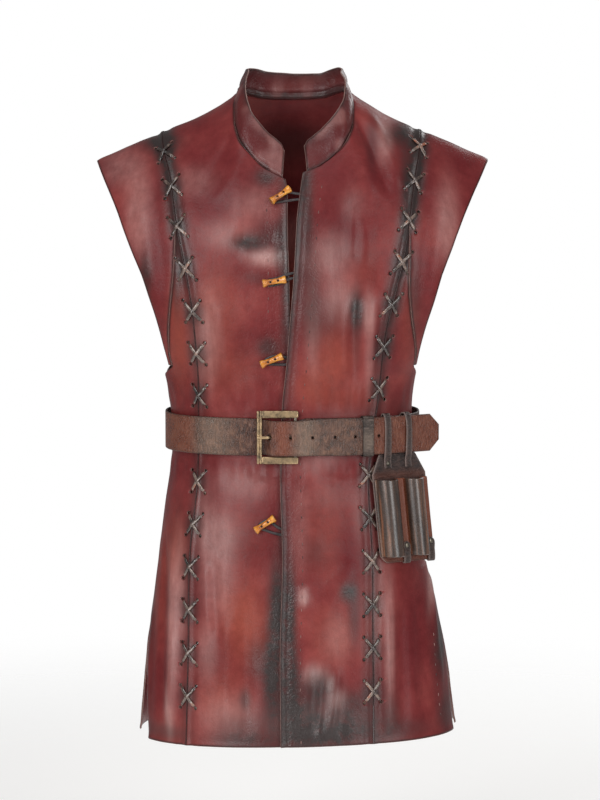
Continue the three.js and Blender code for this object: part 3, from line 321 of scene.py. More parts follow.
def on_form(around, path):
    """Points of the form, in millimetres."""
    around, path = np.broadcast_arrays(np.asarray(around, float), np.asarray(path, float))
    x = np.sign(around) * width_at(around, path) * np.abs(np.sin(around)) ** (2 / ROUND)
    shrink = np.abs(np.cos(around)) ** (2 / ROUND)
    z = height_of(path)
    depth = np.where(path < 0, -pick(RINGS, "z", "front", z), pick(RINGS, "z", "back", z))
    tilt = HEM_TILT * x * ((z - CHEST) / (HEM - CHEST)) ** 2
    # The roll is centred RIDGE_Y behind the rings; the rings move over to meet it.
    meet = RIDGE_Y * (1 - shrink) * smooth(z, CHEST - MEET_BELOW, CHEST)
    upright = np.stack([x, depth * shrink + meet, z + tilt], -1)
    turn = np.clip(path, 0, FULL_TURN) / FULL_TURN * np.pi
    rise = np.abs(np.sin(turn)) ** (2 / ROLL)
    reach = np.abs(np.cos(turn)) ** (2 / ROLL)
    front = path < RIDGE_TURN
    deep = shrink * np.where(front, RINGS["front"][0] + RIDGE_Y, RINGS["back"][0] - RIDGE_Y)
    rolled = np.stack([
        x,
        RIDGE_Y + np.where(front, -reach, reach) * deep,
        CHEST + (ridge_height(x, path) - CHEST) * rise,
    ], -1)
    on_roll = (path >= 0) & (path <= FULL_TURN)
    return np.where(on_roll[..., None], rolled, upright)


def step_across(around, path, step):
    """An angle kept off the side seam, and the move over the form from a step before to after."""
    a = np.clip(around, step - np.pi / 2, np.pi / 2 - step)
    return a, on_form(a + step, path) - on_form(a - step, path)


def facing_at(around, path):
    """Outward directions of the form as it is."""
    a, across = step_across(around, path, 0.004)
    return unit(np.cross(across, on_form(a, path + 0.5) - on_form(a, path - 0.5)))


def facing(around, path):
    """Outward directions of the form, blended across its turn at chest height."""
    around, path = np.broadcast_arrays(np.asarray(around, float), np.asarray(path, float))
    level = to_front(path)
    near = (level > -TURN_BELOW) & (level < TURN_ABOVE)
    below, above = (
        facing_at(around, np.where(path > RIDGE_TURN, FULL_TURN - end, end))
        for end in (-TURN_BELOW, TURN_ABOVE))
    share = smooth(level, -TURN_BELOW, TURN_ABOVE)[..., None]
    blended = unit(below + (above - below) * share)
    return np.where(near[..., None], blended, facing_at(around, path))


def around_at(x, path):
    """The angle at which a distance from the middle lies."""
    share = np.minimum(1, np.abs(x) / width_at(np.asarray(x, float), path))
    return np.sign(x) * np.arcsin(share ** (ROUND / 2))


def path_of(x, z, back=False):
    """The place along the path of a point seen from the front, or mirrored from the back."""
    x, z = np.asarray(x, float), np.asarray(z, float)
    top = ridge_height(x, FULL_TURN if back else 0.0)
    share = np.clip((z - CHEST) / (top - CHEST), 0, 1)
    return np.where(z <= CHEST, z - CHEST, np.arcsin(share ** (ROLL / 2)) / np.pi * FULL_TURN)


def edge_at(rows, column, path):
    """Where an edge from a table crosses the row at `path`: its distance from the middle."""
    level = to_front(path)
    numbered = {**rows, "index": np.arange(len(rows["z"]), dtype=float)}
    index = np.linspace(0, len(rows["z"]) - 1, 600)
    x, z = pick(numbered, "index", column, index), pick(numbered, "index", "z", index)
    values = []
    for back in (False, True):
        place = np.maximum.accumulate(path_of(x * SIGN[column], z, back))
        values.append(np.interp(level, place, x))
    return np.where(path > RIDGE_TURN, values[1], values[0])


def shifted(around, path, distance):
    """Moves an edge across the form by a few tenths of a millimetre."""
    step = 0.002
    gap = np.linalg.norm(step_across(around, path, step)[1], axis=-1)
    return around + distance * 2 * step / gap


def laced_seam(side, path):
    path = np.asarray(path, float)
    x = np.where(path > RIDGE_TURN, edge_at(LACED_SEAM_BACK, side, path),
                 edge_at(LACED_SEAM, side, path))
    return around_at(SIGN[side] * x, path)


def wing_seam(side, path):
    """The wing's inner seam: beside the side panel low down, the laced seam higher up."""
    sign = SIGN[side]
    level = to_front(path)
    laced = laced_seam(side, path)
    least = shifted(laced, path, sign * SIDE_TIP)
    seam = around_at(sign * edge_at(WING_SEAM, side, path), path)
    return np.where(level > WING_TOP_OF_SIDE, laced, sign * np.maximum(sign * seam, sign * least))


def front_edge(side, path):
    """The centre-front edge, and above it the edge of the neck."""
    path = np.asarray(path, float)
    z = np.where(path < 0, CHEST + path, on_form(0.02, path)[..., 2])
    x = pick(FRONT_EDGES, "z", {"right": "under", "left": "over"}[side], z)
    neck = SIGN[side] * edge_at(NECK_FRONT, side, np.minimum(path, 99))
    return around_at(np.where(path < NECK_START[side], x, neck), path)


middle_of_chest = on_form(0.0, 0.0)
print("form at the middle of the chest:", np.round(middle_of_chest, 1))

# %% [markdown]
# ## Folds and creases
# Worn leather keeps the creases of its wearer, where cloth drapes anew. So the main folds are laid
# as soft ridges and troughs, each through three points of the form with a height and a width; a
# cloth simulation would suit a thinner fabric. Small lumps and the puckers beside the belt come
# from rules with fixed seeds. The same function later seats the thongs and toggles.

# %% The folds
# Each fold: height, half width, and three points as across and up.
FOLDS = {
    "front": numbers("""
        -2.4 9 -78 -177 -46 -184 -12 -184, 2.2 9 -72 -201 -40 -205 -10 -203,
        -4.2 8 78 -12 107 -72 129 -132, 2.6 9 98 -14 124 -70 143 -124,
        2.2 9 60 -30 88 -80 112 -136, -2.4 9 76 -128 79 -170 77 -212,
        1.8 10 94 -150 96 -190 92 -226, -3 8 86 -244 81 -300 84 -386,
        2.6 8 101 -250 103 -310 105 -384, 1.6 8 66 -260 64 -310 66 -372,
        4.4 7 -157 -560 -157 -690 -164 -845, -2.8 6 -169 -560 -170 -690 -176 -838,
        2.6 5 -183 -660 -188 -740 -192 -838, 2.4 6 -113 -600 -112 -650 -110 -700,
        -1.8 7 -102 -590 -100 -650 -98 -720, -1.3 10 20 -662 50 -622 76 -596,
        1.2 9 36 -690 60 -646 84 -606, 2.6 7 14 -630 13 -647 16 -664,
        2.8 7 60 -736 56 -780 50 -836, -2.2 7 44 -740 38 -790 34 -838,
        2 9 20 -736 24 -770 22 -812, 3.4 7 124 -650 127 -740 128 -838,
        -3 8 142 -640 145 -740 148 -836, 3.2 7 180 -630 190 -700 200 -800,
        -2.2 8 166 -650 170 -740 176 -830, -2 10 -60 -640 -62 -730 -56 -836,
        1.8 10 -84 -660 -86 -750 -84 -838, -2 9 -118 -250 -108 -320 -100 -392,
        1.6 9 -98 -260 -90 -320 -84 -390, 1.4 11 -200 -120 -188 -200 -172 -300,
        -1.2 10 -182 -104 -174 -180 -165 -290, 1.5 11 200 -122 189 -196 174 -296,
        -1.2 10 184 -110 175 -180 165 -286, -1.8 8 -76 -40 -96 -84 -120 -120,
        1.8 9 -60 -66 -78 -104 -104 -140, 1.6 7 -62 -478 -30 -490 0 -486,
        -1.6 7 30 -486 66 -498 96 -492
    """),
    "back": numbers("""
        -2.8 12 -90 -300 0 -322 92 -304, 2.6 12 -104 -336 -6 -356 98 -340,
        -2.8 10 -84 -372 4 -384 90 -374, -2.8 10 -40 -520 -46 -660 -58 -838,
        3 10 -66 -540 -76 -680 -88 -838, 3 10 36 -530 44 -680 50 -838,
        -2.8 10 64 -520 76 -680 84 -838, 2.6 8 -150 -560 -156 -700 -164 -836,
        -2.4 8 146 -560 158 -700 172 -836, -3 10 -70 -20 -92 -90 -104 -180,
        -3 10 72 -18 94 -92 106 -180, 2.4 12 -50 -60 -62 -120 -66 -200,
        2.4 12 52 -62 62 -124 66 -206, -2 14 -2 -40 2 -130 -2 -250
    """),
}


def through(three, share):
    """A curve through three points, at shares of its length."""
    a, b, c = three
    s = share[:, None]
    return a * (1 - s) * (1 - 2 * s) + b * 4 * s * (1 - s) + c * s * (2 * s - 1)


def seen_on_form(spots, back=False):
    """Points of the form behind places seen as (across, up) from the front, or from the back."""
    path = path_of(spots[..., 0], spots[..., 1], back)
    path = FULL_TURN - path if back else path
    return on_form(around_at(spots[..., 0], path), path)


def beside_line(points, line):
    """Each point's distance from a line, and how far along the line that is, from 0 to 1."""
    best = np.full(len(points), 1e9)
    along = np.zeros(len(points))
    for k in range(len(line) - 1):
        run = line[k + 1] - line[k]
        t = np.clip((points - line[k]) @ run / (run @ run), 0, 1)
        gap = np.linalg.norm(points - line[k] - t[:, None] * run, axis=1)
        closer = gap < best
        best[closer] = gap[closer]
        along[closer] = (k + t[closer]) / (len(line) - 1)
    return best, along


def lumps(points, size, seed):
    """Smooth random lumps of about `size` millimetres, between -1 and 1."""
    values = np.random.default_rng(seed).uniform(-1, 1, 4096)
    cell = points / np.asarray(size, float)
    corner = np.floor(cell).astype(np.int64)
    t = cell - corner
    ease = t**3 * (t * (6 * t - 15) + 10)
    total = 0
    for step in np.ndindex(2, 2, 2):
        key = (corner + np.array(step)) @ np.array([73856093, 19349663, 83492791])
        share = np.where(np.array(step) == 1, ease, 1 - ease).prod(axis=-1)
        total = total + share * values[(key ^ (key >> 13)) & 4095]
    return total


FOLD_LINES = [
    (height, width, seen_on_form(
        through(np.reshape(three, (3, 2)), np.linspace(0, 1, 13)), where == "back"))
    for where, rows in FOLDS.items() for height, width, *three in rows
]
print("folds:", len(FOLD_LINES), "laid by hand")

# %% The height of the leather over its form
BELT_TOP = -414.3
BELT_BOTTOM = -463.3
PUCKER_PITCH = 24.0
# The form turns inwards by these degrees at chest height; a fillet this wide softens the turn.
CHEST_TURN = table("x turn", "60 0, 100 2.4, 140 6, 170 10, 200 17, 225 26")
CHEST_FILLET = 42.0


def relief(points):
    """How far the leather stands out from its form at each point, in millimetres."""
    flat = points.reshape(-1, 3)
    height = (
        1.7 * lumps(flat, (90, 90, 120), 3) + 0.9 * lumps(flat, (34, 34, 70), 5)
        + 0.35 * lumps(flat, (15, 15, 22), 8)
    )
    for tall, width, line in FOLD_LINES:
        low, high = line.min(0) - 3 * width, line.max(0) + 3 * width
        near = ((flat > low) & (flat < high)).all(1)
        gap, along = beside_line(flat[near], line)
        ends = smooth(along, 0, 0.22) * (1 - smooth(along, 0.78, 1))
        height[near] += tall * ends * hill(gap, 0, width)
    z = flat[:, 2]
    bend = np.radians(pick(CHEST_TURN, "x", "turn", np.abs(flat[:, 0])))
    near = np.clip(1 - np.abs(z - CHEST) / CHEST_FILLET, 0, 1)
    height -= bend * CHEST_FILLET / 4 * near**2
    turn = 150 * np.arctan2(flat[:, 0], -flat[:, 1])
    wave = np.sin(2 * np.pi * turn / PUCKER_PITCH + 2.5 * lumps(flat, 60, 9))
    drop = np.where(z > BELT_TOP, z - BELT_TOP, BELT_BOTTOM - z)
    height += 0.6 * wave * smooth(drop, 2, 14) * (1 - smooth(drop, 16, 60))
    height *= 0.35 + 0.65 * smooth(np.abs(z - (BELT_TOP + BELT_BOTTOM) / 2), 28, 46)
    under_carrier = (flat[:, 0] > 92) & (flat[:, 1] < 20) & (z < -440) & (z > -618)
    height = np.where(under_carrier, np.minimum(height, 0.2) * 0.7, height)
    return height.reshape(points.shape[:-1])


print("relief at the middle of the chest:", round(float(relief(middle_of_chest)), 2), "mm")

# %% [markdown]
# ## Wear, old colour and painted light
# The leather is dyed oxblood and then aged: dark wax rubbed into seams and edges, dry pale places
# where it was rubbed, and redder and browner fields between them. Some dark patches are painted
# shade, in the troughs of folds, along the sides and beside the left front's overlapping edge;
# some deep red ones are painted shade in creases, and some pale ones painted highlights on ridges.
# Painting an image would be the usual way; here each soft patch is a row of a table, kept on the
# mesh as an attribute that the material reads, so it stays with the leather.

# %% Patches of wear, painted shade and painted highlights
# Each patch: across, up, half width, half height and strength.
PATCHES = {
    # Dark: wax and dirt, and painted shade in fold troughs, low at the sides and beside the left
    # front's edge.
    "wax_and_shade": numbers("""
        -172 -58 26 15 0.95, -34 -104 15 13 0.75, -56 -188 26 12 0.85, -28 -176 24 16 0.45,
        -16 -196 9 34 0.55, -31 -323 15 14 0.7, -191 -232 9 32 0.7, -150 -240 7 46 0.55,
        -48 -232 18 8 0.3, -20 -664 12 70 0.95, -26 -752 14 74 0.98, -62 -782 8 15 0.6,
        -44 -730 14 26 0.5, -60 -836 54 12 0.6, -196 -800 10 50 0.5, -186 -680 6 60 0.4,
        -168 -832 30 12 0.5, -12 -560 8 40 0.5, -2 -668 8 60 0.85, 0 -760 11 60 0.9,
        12 -812 26 34 0.9, 34 -806 50 34 0.55, 73 -642 12 13 0.9, 80 -668 8 40 0.45,
        34 -766 24 22 0.75, 56 -824 60 24 0.95, 80 -790 22 22 0.6, 197 -722 9 46 0.9,
        128 -812 16 34 0.55, 30 -588 14 18 0.25, -60 -822 40 24 0.5, 204 -810 12 28 0.6,
        150 -826 34 15 0.4, 83 -276 10 25 0.9, 42 -284 32 30 0.35, 24 -250 14 60 0.45,
        20 -150 8 60 0.6, 150 -92 12 70 0.5, 146 -48 22 16 0.8, 104 -60 8 40 0.3,
        158 -250 9 60 0.45, 84 -300 6 60 0.35, -6 -240 8 60 0.5, -10 -320 8 50 0.3,
        120 -420 30 40 0.2
    """),
    # Pale: rubbed, dry leather, and painted highlights on the ridges of folds and the chest.
    "bare": numbers("""
        -30 -206 27 12 0.98, -84 -178 34 18 0.3, -200 -148 17 62 0.45, -111 -313 18 56 0.5,
        62 -261 22 26 0.5, -99 -573 26 40 0.55, -147 -651 9 80 0.55, 30 -750 18 14 0.6,
        56 -782 14 13 0.8, -99 -634 22 42 0.35, -112 -720 14 40 0.35, -156 -700 6 90 0.55,
        -162 -810 6 36 0.7, -66 -500 40 22 0.3, -48 -140 30 24 0.3, 50 -206 30 30 0.45,
        78 -140 16 20 0.2, 121 -50 11 30 0.6, 99 -280 8 26 0.75, 100 -340 6 40 0.35,
        202 -166 15 54 0.5, 50 -515 50 18 0.12, 14 -647 7 12 0.95, 48 -762 7 12 0.7,
        26 -745 9 14 0.35, 127 -708 6 90 0.55, 112 -640 10 70 0.35, 184 -638 5 36 0.85,
        60 -700 20 30 0.25, 26 -300 10 60 0.35, 30 -470 30 20 0.3, -130 -110 30 20 0.25,
        66 -430 60 24 0.2, -78 -806 40 30 0.4, 30 -812 50 26 0.5, -226 -92 26 26 0.35,
        10 -560 14 60 0.2, 88 -540 10 40 0.15, -118 -540 14 40 0.25
    """),
    "warm": numbers("""
        -98 -274 32 62 0.6, -150 -313 16 70 0.95, -86 -353 44 32 0.6, -62 -682 32 60 0.95,
        -150 -590 16 50 0.75, -172 -640 16 80 0.45, -90 -780 34 40 0.5, 51 -339 28 44 0.8,
        30 -374 24 24 0.8, 70 -390 40 20 0.5, 44 -560 34 60 0.45, 50 -700 26 40 0.5,
        150 -300 14 60 0.4, 140 -560 20 60 0.3, -190 -300 20 50 0.4, -60 -570 30 40 0.3,
        96 -220 22 40 0.3
    """),
    # Deep red: dye, and in places painted shade in creases, as at 105 -80.
    "deep": numbers("""
        -98 -130 38 32 0.98, -96 -84 40 30 0.6, -60 -110 30 34 0.6, -177 -167 13 95 0.7,
        -173 -262 14 60 0.6, -97 -483 26 24 0.5, -50 -560 30 40 0.35, 105 -80 9 44 0.95,
        70 -168 26 46 0.9, 44 -110 30 40 0.6, 121 -114 20 44 0.65, 171 -247 14 60 0.6,
        229 -96 30 26 0.5, 176 -100 14 60 0.5, 75 -596 20 56 0.95, 82 -677 9 50 0.6,
        157 -708 22 74 0.95, 60 -90 20 40 0.35, 94 -420 20 40 0.3, -130 -420 20 30 0.3,
        -20 -560 14 50 0.3, 118 -752 14 40 0.5, -20 -280 16 50 0.35, 166 -560 20 40 0.5,
        -226 -90 20 16 0.1
    """),
}
BACK_PATCHES = {
    "wax_and_shade": numbers("""
        -172 -58 26 15 0.9, 172 -54 26 15 0.9, 0 -60 60 26 0.45, -90 -300 40 14 0.45,
        96 -306 40 14 0.45, 0 -386 90 12 0.45, -46 -800 34 40 0.6, 70 -780 30 50 0.55,
        -140 -800 30 40 0.5, 170 -790 24 50 0.5, -104 -180 10 50 0.4, 106 -180 10 50 0.4,
        0 -560 20 60 0.2, -196 -232 10 40 0.6, 194 -232 10 40 0.6
    """),
    "bare": numbers("""
        -96 -110 34 44 0.6, 98 -112 34 44 0.6, 0 -190 60 30 0.3, -70 -620 14 80 0.5,
        44 -640 14 80 0.5, 0 -350 70 12 0.4, -204 -150 16 60 0.45, 204 -150 16 60 0.45,
        90 -520 40 24 0.3
    """),
    "warm": numbers("""
        0 -260 70 50 0.6, -80 -560 40 60 0.6, 70 -700 40 70 0.7, -40 -690 40 60 0.6,
        -150 -330 20 60 0.7, 150 -330 20 60 0.6
    """),
    "deep": numbers("""
        -50 -130 30 60 0.5, 54 -136 30 60 0.5, 0 -480 80 20 0.4, -110 -720 20 70 0.5,
        120 -680 20 70 0.6, 0 -760 24 50 0.4
    """),
}
# Wax in the laced seams, by height, and along the left front's edge: its strength.
SEAM_WAX = table("z right left", """
    -845 0.3 0.5, -600 0.3 0.45, -480 0.35 0.4, -380 0.3 0.5, -300 0.35 0.65, -240 0.6 0.8,
    -150 0.85 0.95, -50 0.95 0.98
""")
EDGE_WAX = table("z right left", """
    -845 0.85 0.9, -700 0.75 0.85, -620 0.5 0.7, -560 0.25 0.3, -400 0.3 0.45, -300 0.4 0.6,
    -220 0.65 0.85, -100 0.7 0.9
""")


def patches(points, kind):
    """How strongly a kind of wear or painted light covers each point, from 0 to 1."""
    x, y, z = points[..., 0], points[..., 1], points[..., 2]
    clean = np.ones(x.shape)
    for rows, half in ((PATCHES, y < RIDGE_Y), (BACK_PATCHES, y >= RIDGE_Y)):
        for across, up, wide, tall, strength in rows[kind]:
            reach = ((x - across) / wide) ** 2 + ((z - up) / tall) ** 2
            clean = clean * np.where(half, 1 - strength * np.exp(-(reach**1.3)), 1)
    return 1 - clean


print("patches:", {kind: len(rows) + len(BACK_PATCHES[kind]) for kind, rows in PATCHES.items()})

# %% [markdown]
# ## Oxblood leather
# The jerkin is vegetable-tanned cowhide, dyed oxblood, waxed and aged by hand. The dye takes
# unevenly, so the red drifts from brick to wine over a hand's width. Black-brown wax fills the
# seams and the grain, rubbed places go dry and pinkish, and cut edges are burnished dark with a
# pale worn rim. The same dark, deep red and pale colours are also laid as painted shade in fold
# troughs, creases, seam grooves and at the sides, and as painted highlights on ridges and edge
# rims. The grain is a pebble of 2 to 3 mm, drawn a little coarser than life so that it shows;
# the surface is satin, glossier where wax and painted shade lie.

# %% The jerkin's leather
def new_material(name):
    """A material, what adds nodes to it, its shader and its object coordinates."""
    material = bpy.data.materials.new(name)
    material.use_nodes = True
    add = functools.partial(add_node, material.node_tree)
    shader = material.node_tree.nodes["Principled BSDF"]
    return material, add, shader, add("TexCoord", give="Object")


def oxblood_leather():
    material, add, shader, place = new_material("waxed_oxblood_cowhide")
    masks = {kind: add("Attribute", give="Fac", attribute_name=kind)
             for kind in ("wax_and_shade", "bare", "warm", "deep", "edge", "pebble")}
    # Dye drifts over 80 mm; 1000 / size in mm turns a feature's size into a noise scale.
    drift = add("TexNoise", {
        "Vector": place, "Scale": 1000 / 80, "Detail": 3.0, "Roughness": 0.55})
    mottle = add("TexNoise", {
        "Vector": place, "Scale": 1000 / 11, "Detail": 6.0, "Roughness": 0.68})
    drawn = add("Mapping", {"Vector": place, "Scale": (1, 1, 0.16)})
    streaks = add("TexNoise", {
        "Vector": drawn, "Scale": 1000 / 8, "Detail": 4.0, "Roughness": 0.6})
    # Pebble grain, 2.2 mm; creases 5.5 mm apart, bent by a coarser noise so that none is straight.
    pebbles = add("TexVoronoi", {"Vector": place, "Scale": 1000 / 2.2})
    bent = add("TexNoise", {"Vector": place, "Scale": 1000 / 20}, "Color")
    warped = add("VectorMath", (bent, (0.012,) * 3, place), operation="MULTIPLY_ADD")
    creases = add("TexVoronoi", {"Vector": warped, "Scale": 1000 / 5.5},
                  feature="DISTANCE_TO_EDGE")
    colour = add("ValToRGB", [drift], stops=(
        (0.34, "#611f21"), (0.5, "#702b2b"), (0.66, "#803936")))
    wear_and_light = [
        # mask, least and most strength, broken up by, tint
        ("warm", 0.42, 0.76, drift, "#8a4030"),
        # deep red is dye and, in creases, painted shade
        ("deep", 0.52, 0.94, drift, "#53141a"),
        # pale is rubbed leather and painted highlight
        ("bare", 0.52, 0.76, streaks, "#b38c86"),
        # near-black: wax, and painted shade in troughs, at the sides and by the left front's edge
        ("wax_and_shade", 0.82, 1.3, mottle, "#2a201f"),
    ]
    # A Mix node takes its share at input 0 and two colours at 6 and 7, and gives one at output 2.
    for kind, least, most, breakup, tint in wear_and_light:
        # The mask swings with its breakup, so a patch's edge is never smooth.
        swing = add("MapRange", (breakup, 0.3, 0.7, least, most))
        masks[kind] = add("Math", (masks[kind], swing), operation="MULTIPLY", use_clamp=True)
        colour = add("Mix", {0: masks[kind], 6: colour, 7: tint}, 2, data_type="RGBA")
    # Small specks of lighter and darker dye, and faint strokes of the rubbing cloth.
    for pattern, low, high in ((mottle, 0.88, 1.12), (streaks, 0.96, 1.04)):
        shade = add("MapRange", (pattern, 0.3, 0.7, low, high))
        colour = add("Mix", {0: 1.0, 6: colour, 7: shade}, 2, data_type="RGBA",
                     blend_type="MULTIPLY")
    # Cut edges: burnished dark over 4 mm, and painted shade in the seams' grooves as well; their
    # pale rim is partly worn and partly a painted highlight.
    for near, far, strength, tint in ((0.8, 4.2, 0.95, "#2b1817"), (0.1, 0.9, 0.6, "#a5837b")):
        mask = add("MapRange", (masks["edge"], near, far, strength, 0.0),
                   interpolation_type="SMOOTHSTEP")
        worn = add("Math", (mask, mottle), operation="MULTIPLY")
        worn = add("Math", (worn, 1.7), operation="MULTIPLY", use_clamp=True)
        colour = add("Mix", {0: worn, 6: colour, 7: tint}, 2, data_type="RGBA")

    # Where the black wax and the painted shade lie, the leather is a little glossier.
    rough = add("MapRange", (mottle, 0.3, 0.7, 0.3, 0.42))
    rough = add("Math", (masks["wax_and_shade"], -0.05, rough), operation="MULTIPLY_ADD")
    # Dyed leather is dull; the dark places shine a little and the pale ones more, whether wax and
    # rubbing or painted shade and painted highlights.
    shine = add("Math", (masks["wax_and_shade"], 0.5, masks["bare"]), operation="MULTIPLY_ADD")
    shine = add("MapRange", {"Value": shine, "To Min": 0.18, "To Max": 0.66})

    # Creases and pebbles are faint everywhere, and up to five times as deep in pebbled strips.
    groove = add("MapRange", {"Value": creases, "From Max": 0.22})
    depth = add("MapRange", {"Value": masks["pebble"], "To Min": 0.05, "To Max": 0.26})
    normal = add("Bump", {"Height": groove, "Strength": depth, "Distance": 0.0007})
    normal = add("Bump", {"Height": mottle, "Strength": 0.5, "Distance": 0.001, "Normal": normal})
    normal = add("Bump", {
        "Height": pebbles, "Strength": depth, "Distance": 0.0006, "Normal": normal}, invert=True)
    feed(shader, {"Base Color": colour, "Roughness": rough, "Specular IOR Level": shine,
                  "Normal": normal})
    return material


JERKIN_LEATHER = oxblood_leather()
print("material:", JERKIN_LEATHER.name, len(JERKIN_LEATHER.node_tree.nodes), "nodes")

# %% [markdown]
# ## The nine panels
# Each panel is a sheet of 2 mm leather cut to its seams. Its outer skin is a fine grid between two
# edges, moved out by the folds, with edges that are rolled, skived or pressed as the real ones
# are. The flesh side lies 2 mm further in, and the two skins meet in a rounded rim, so each panel
# is one closed shell. A Solidify modifier could give the thickness, but not a rounded rim.

# %% Grids of leather
RIM = 0.8
RIM_DROP = 0.6
# On the shoulder's roll one step along the path covers this many times its length.
ROLL_STRETCH = 2.45


def spread(count, width):
    """Distances across `width` for `count` lines, with one close to each rim."""
    rim = np.minimum(RIM, 0.2 * width)
    inner = rim + np.linspace(0, 1, count - 2)[:, None] * (width - 2 * rim)
    return np.concatenate([np.zeros((1, width.size)), inner, width[None]]).T


def even_paths(first, last, step, exact=()):
    """Paths from first to last about `step` millimetres apart, through the exact ones."""
    roll_step = step / ROLL_STRETCH
    marks = sorted({first, last, *exact, *[m for m in (0.0, FULL_TURN) if first < m < last]})
    paths = []
    for low, high in zip(marks, marks[1:]):
        rolled = low >= 0 and high <= FULL_TURN
        count = max(1, round((high - low) / (roll_step if rolled else step)))
        paths += list(np.linspace(low, high, count + 1)[:-1])
    rim = [RIM / (ROLL_STRETCH if 0 <= end <= FULL_TURN else 1) for end in (first, last)]
    paths = [p for p in paths if first + 1.5 * rim[0] < p < last - 1.5 * rim[1]]
    return np.array([first, first + rim[0], *paths, last - rim[1], last])


def lay_panel(paths, count, first_edge, last_edge, level=None):
    """A grid over the form: rows at paths, columns evenly between the two edges."""
    start, stop = first_edge(paths), last_edge(paths)
    dense = start[:, None] + (stop - start)[:, None] * np.linspace(0, 1, 161)
    rows = np.broadcast_to(paths[:, None], dense.shape)
    if level:
        rows = level(rows, on_form(dense, rows)[..., 0])
    line = on_form(dense, rows)
    arc = np.array([run_of(row) for row in line])
    gaps = spread(count, arc[:, -1])
    around = np.array([np.interp(g, a, d) for g, a, d in zip(gaps, arc, dense)])
    rows = np.broadcast_to(paths[:, None], around.shape)
    if level:
        rows = level(rows, on_form(around, rows)[..., 0])
    points = on_form(around, rows)
    down = np.array([run_of(column) for column in points.swapaxes(0, 1)]).T
    return {
        "points": points, "facing": facing(around, rows), "path": rows,
        "start": gaps, "stop": arc[:, -1:] - gaps, "first": down, "last": down[-1:] - down,
    }


def new_piece(name, points, faces, material, **kept):
    """A closed smooth mesh from points in millimetres, with vectors or values kept on it."""
    mesh = bpy.data.meshes.new(name)
    mesh.from_pydata((points * MM).tolist(), [], faces)
    mesh.shade_smooth()
    for key, value in kept.items():
        vector = value.ndim == 2
        layer = mesh.attributes.new(key, "FLOAT_VECTOR" if vector else "FLOAT", "POINT")
        layer.data.foreach_set("vector" if vector else "value", value.astype("f4").ravel())
    mesh.materials.append(material)
    shape = bmesh.new()
    shape.from_mesh(mesh)
    if shape.calc_volume(signed=True) < 0:
        bmesh.ops.reverse_faces(shape, faces=shape.faces)
        shape.to_mesh(mesh)
    shape.free()
    return add_object(name, mesh)


def grid_mesh(name, outer, inner, material, values):
    """One closed shell between two grids of points in millimetres, with values kept on it."""
    rows, columns = outer.shape[:2]
    at = np.arange(rows * columns).reshape(rows, columns)
    skin = np.stack([at[:-1, :-1], at[:-1, 1:], at[1:, 1:], at[1:, :-1]], -1).reshape(-1, 4)
    loop = np.concatenate([at[0, :-1], at[:-1, -1], at[-1, :0:-1], at[:0:-1, 0]])
    after = np.roll(loop, -1)
    rim = np.stack([after, loop, loop + at.size, after + at.size], -1)
    faces = np.concatenate([skin, skin[:, ::-1] + at.size, rim])
    points = np.concatenate([outer.reshape(-1, 3), inner.reshape(-1, 3)])
    a, b, c, d = (points[faces[:, k]] for k in range(4))
    volume = np.einsum("ij,ij", a, np.cross(b, c)) + np.einsum("ij,ij", a, np.cross(c, d))
    if volume < 0:
        faces = faces[:, ::-1]
    doubled = {key: np.tile(value.ravel(), 2) for key, value in values.items()}
    return new_piece(name, points, faces.tolist(), material, **doubled)


def lace_lip(distance):
    """How the leather stands beside a laced seam: a raised cut edge, then a drawn-in strip."""
    return 1.6 * hill(distance, 0, 2.0) - 0.9 * hill(distance, 8, 4.5)


def rolled_lip(distance):
    return 1.7 * hill(distance, 0, 2.6) - 1.0 * hill(distance, 8, 3.5)


def seam_dip(distance):
    return -0.9 * hill(distance, 0, 3)


def hem_flare(distance):
    return 0.7 * (1 - smooth(distance, 0, 9))


def armhole_curl(distance):
    return -1.0 * (1 - smooth(distance, 0, 7))


print("rim of each panel:", RIM, "mm wide,", RIM_DROP, "mm round")

# %% Cut, shape and age one panel
HEM_PATH = HEM - CHEST
SHOULDER = 106.0
BACK_TOP_BLEND = 130.0


def wear_and_light_of(points, edge, laced, pebble):
    """The values that the leather's material reads, for points of a panel."""
    wear_and_light = {kind: patches(points, kind) for kind in PATCHES}
    z = points[..., 2]
    wax = by_side(SEAM_WAX, "z", points[..., 0], z)
    seam = wax * np.exp(-np.abs(laced / 13) ** 2.4)
    wear_and_light["wax_and_shade"] = 1 - (1 - wear_and_light["wax_and_shade"]) * (1 - seam)
    # A laced edge is turned in: it shows no pale rim, only a thin dark line of burnish and painted
    # shade in the seam's groove.
    wear_and_light["edge"] = np.where(np.abs(laced) < 5, np.maximum(edge * 2.2, 0.9), edge)
    wear_and_light["pebble"] = pebble + 0 * z
    return wear_and_light


def finish_panel(name, grid, lips, laced, pebble=0.0, front_wax=0.0, lap=0.0):
    """Shapes a panel's grid, wraps it in its two skins and keeps its wear and painted light on it.
    """
    base, out = grid["points"], grid["facing"]
    edge = np.minimum.reduce([grid[key] for key in ("start", "stop", "first", "last")])
    height = relief(base) + lap + lips
    height = height - RIM_DROP * (edge <= 0)
    outer = base + out * height[..., None]
    depth = LEATHER - 2 * RIM_DROP * (edge <= 0)
    inner = outer - out * np.broadcast_to(depth, edge.shape)[..., None]
    wear_and_light = wear_and_light_of(base, edge, laced, pebble)
    wear_and_light["wax_and_shade"] = 1 - (1 - wear_and_light["wax_and_shade"]) * (1 - front_wax)
    return grid_mesh(name, outer, inner, JERKIN_LEATHER, wear_and_light), grid


def beside(seam, side, gap):
    """An edge half a seam's gap away from a seam, on the side where `gap` points."""
    return lambda path: shifted(seam(side, path), path, gap * SIGN[side] * SEAM / 2)


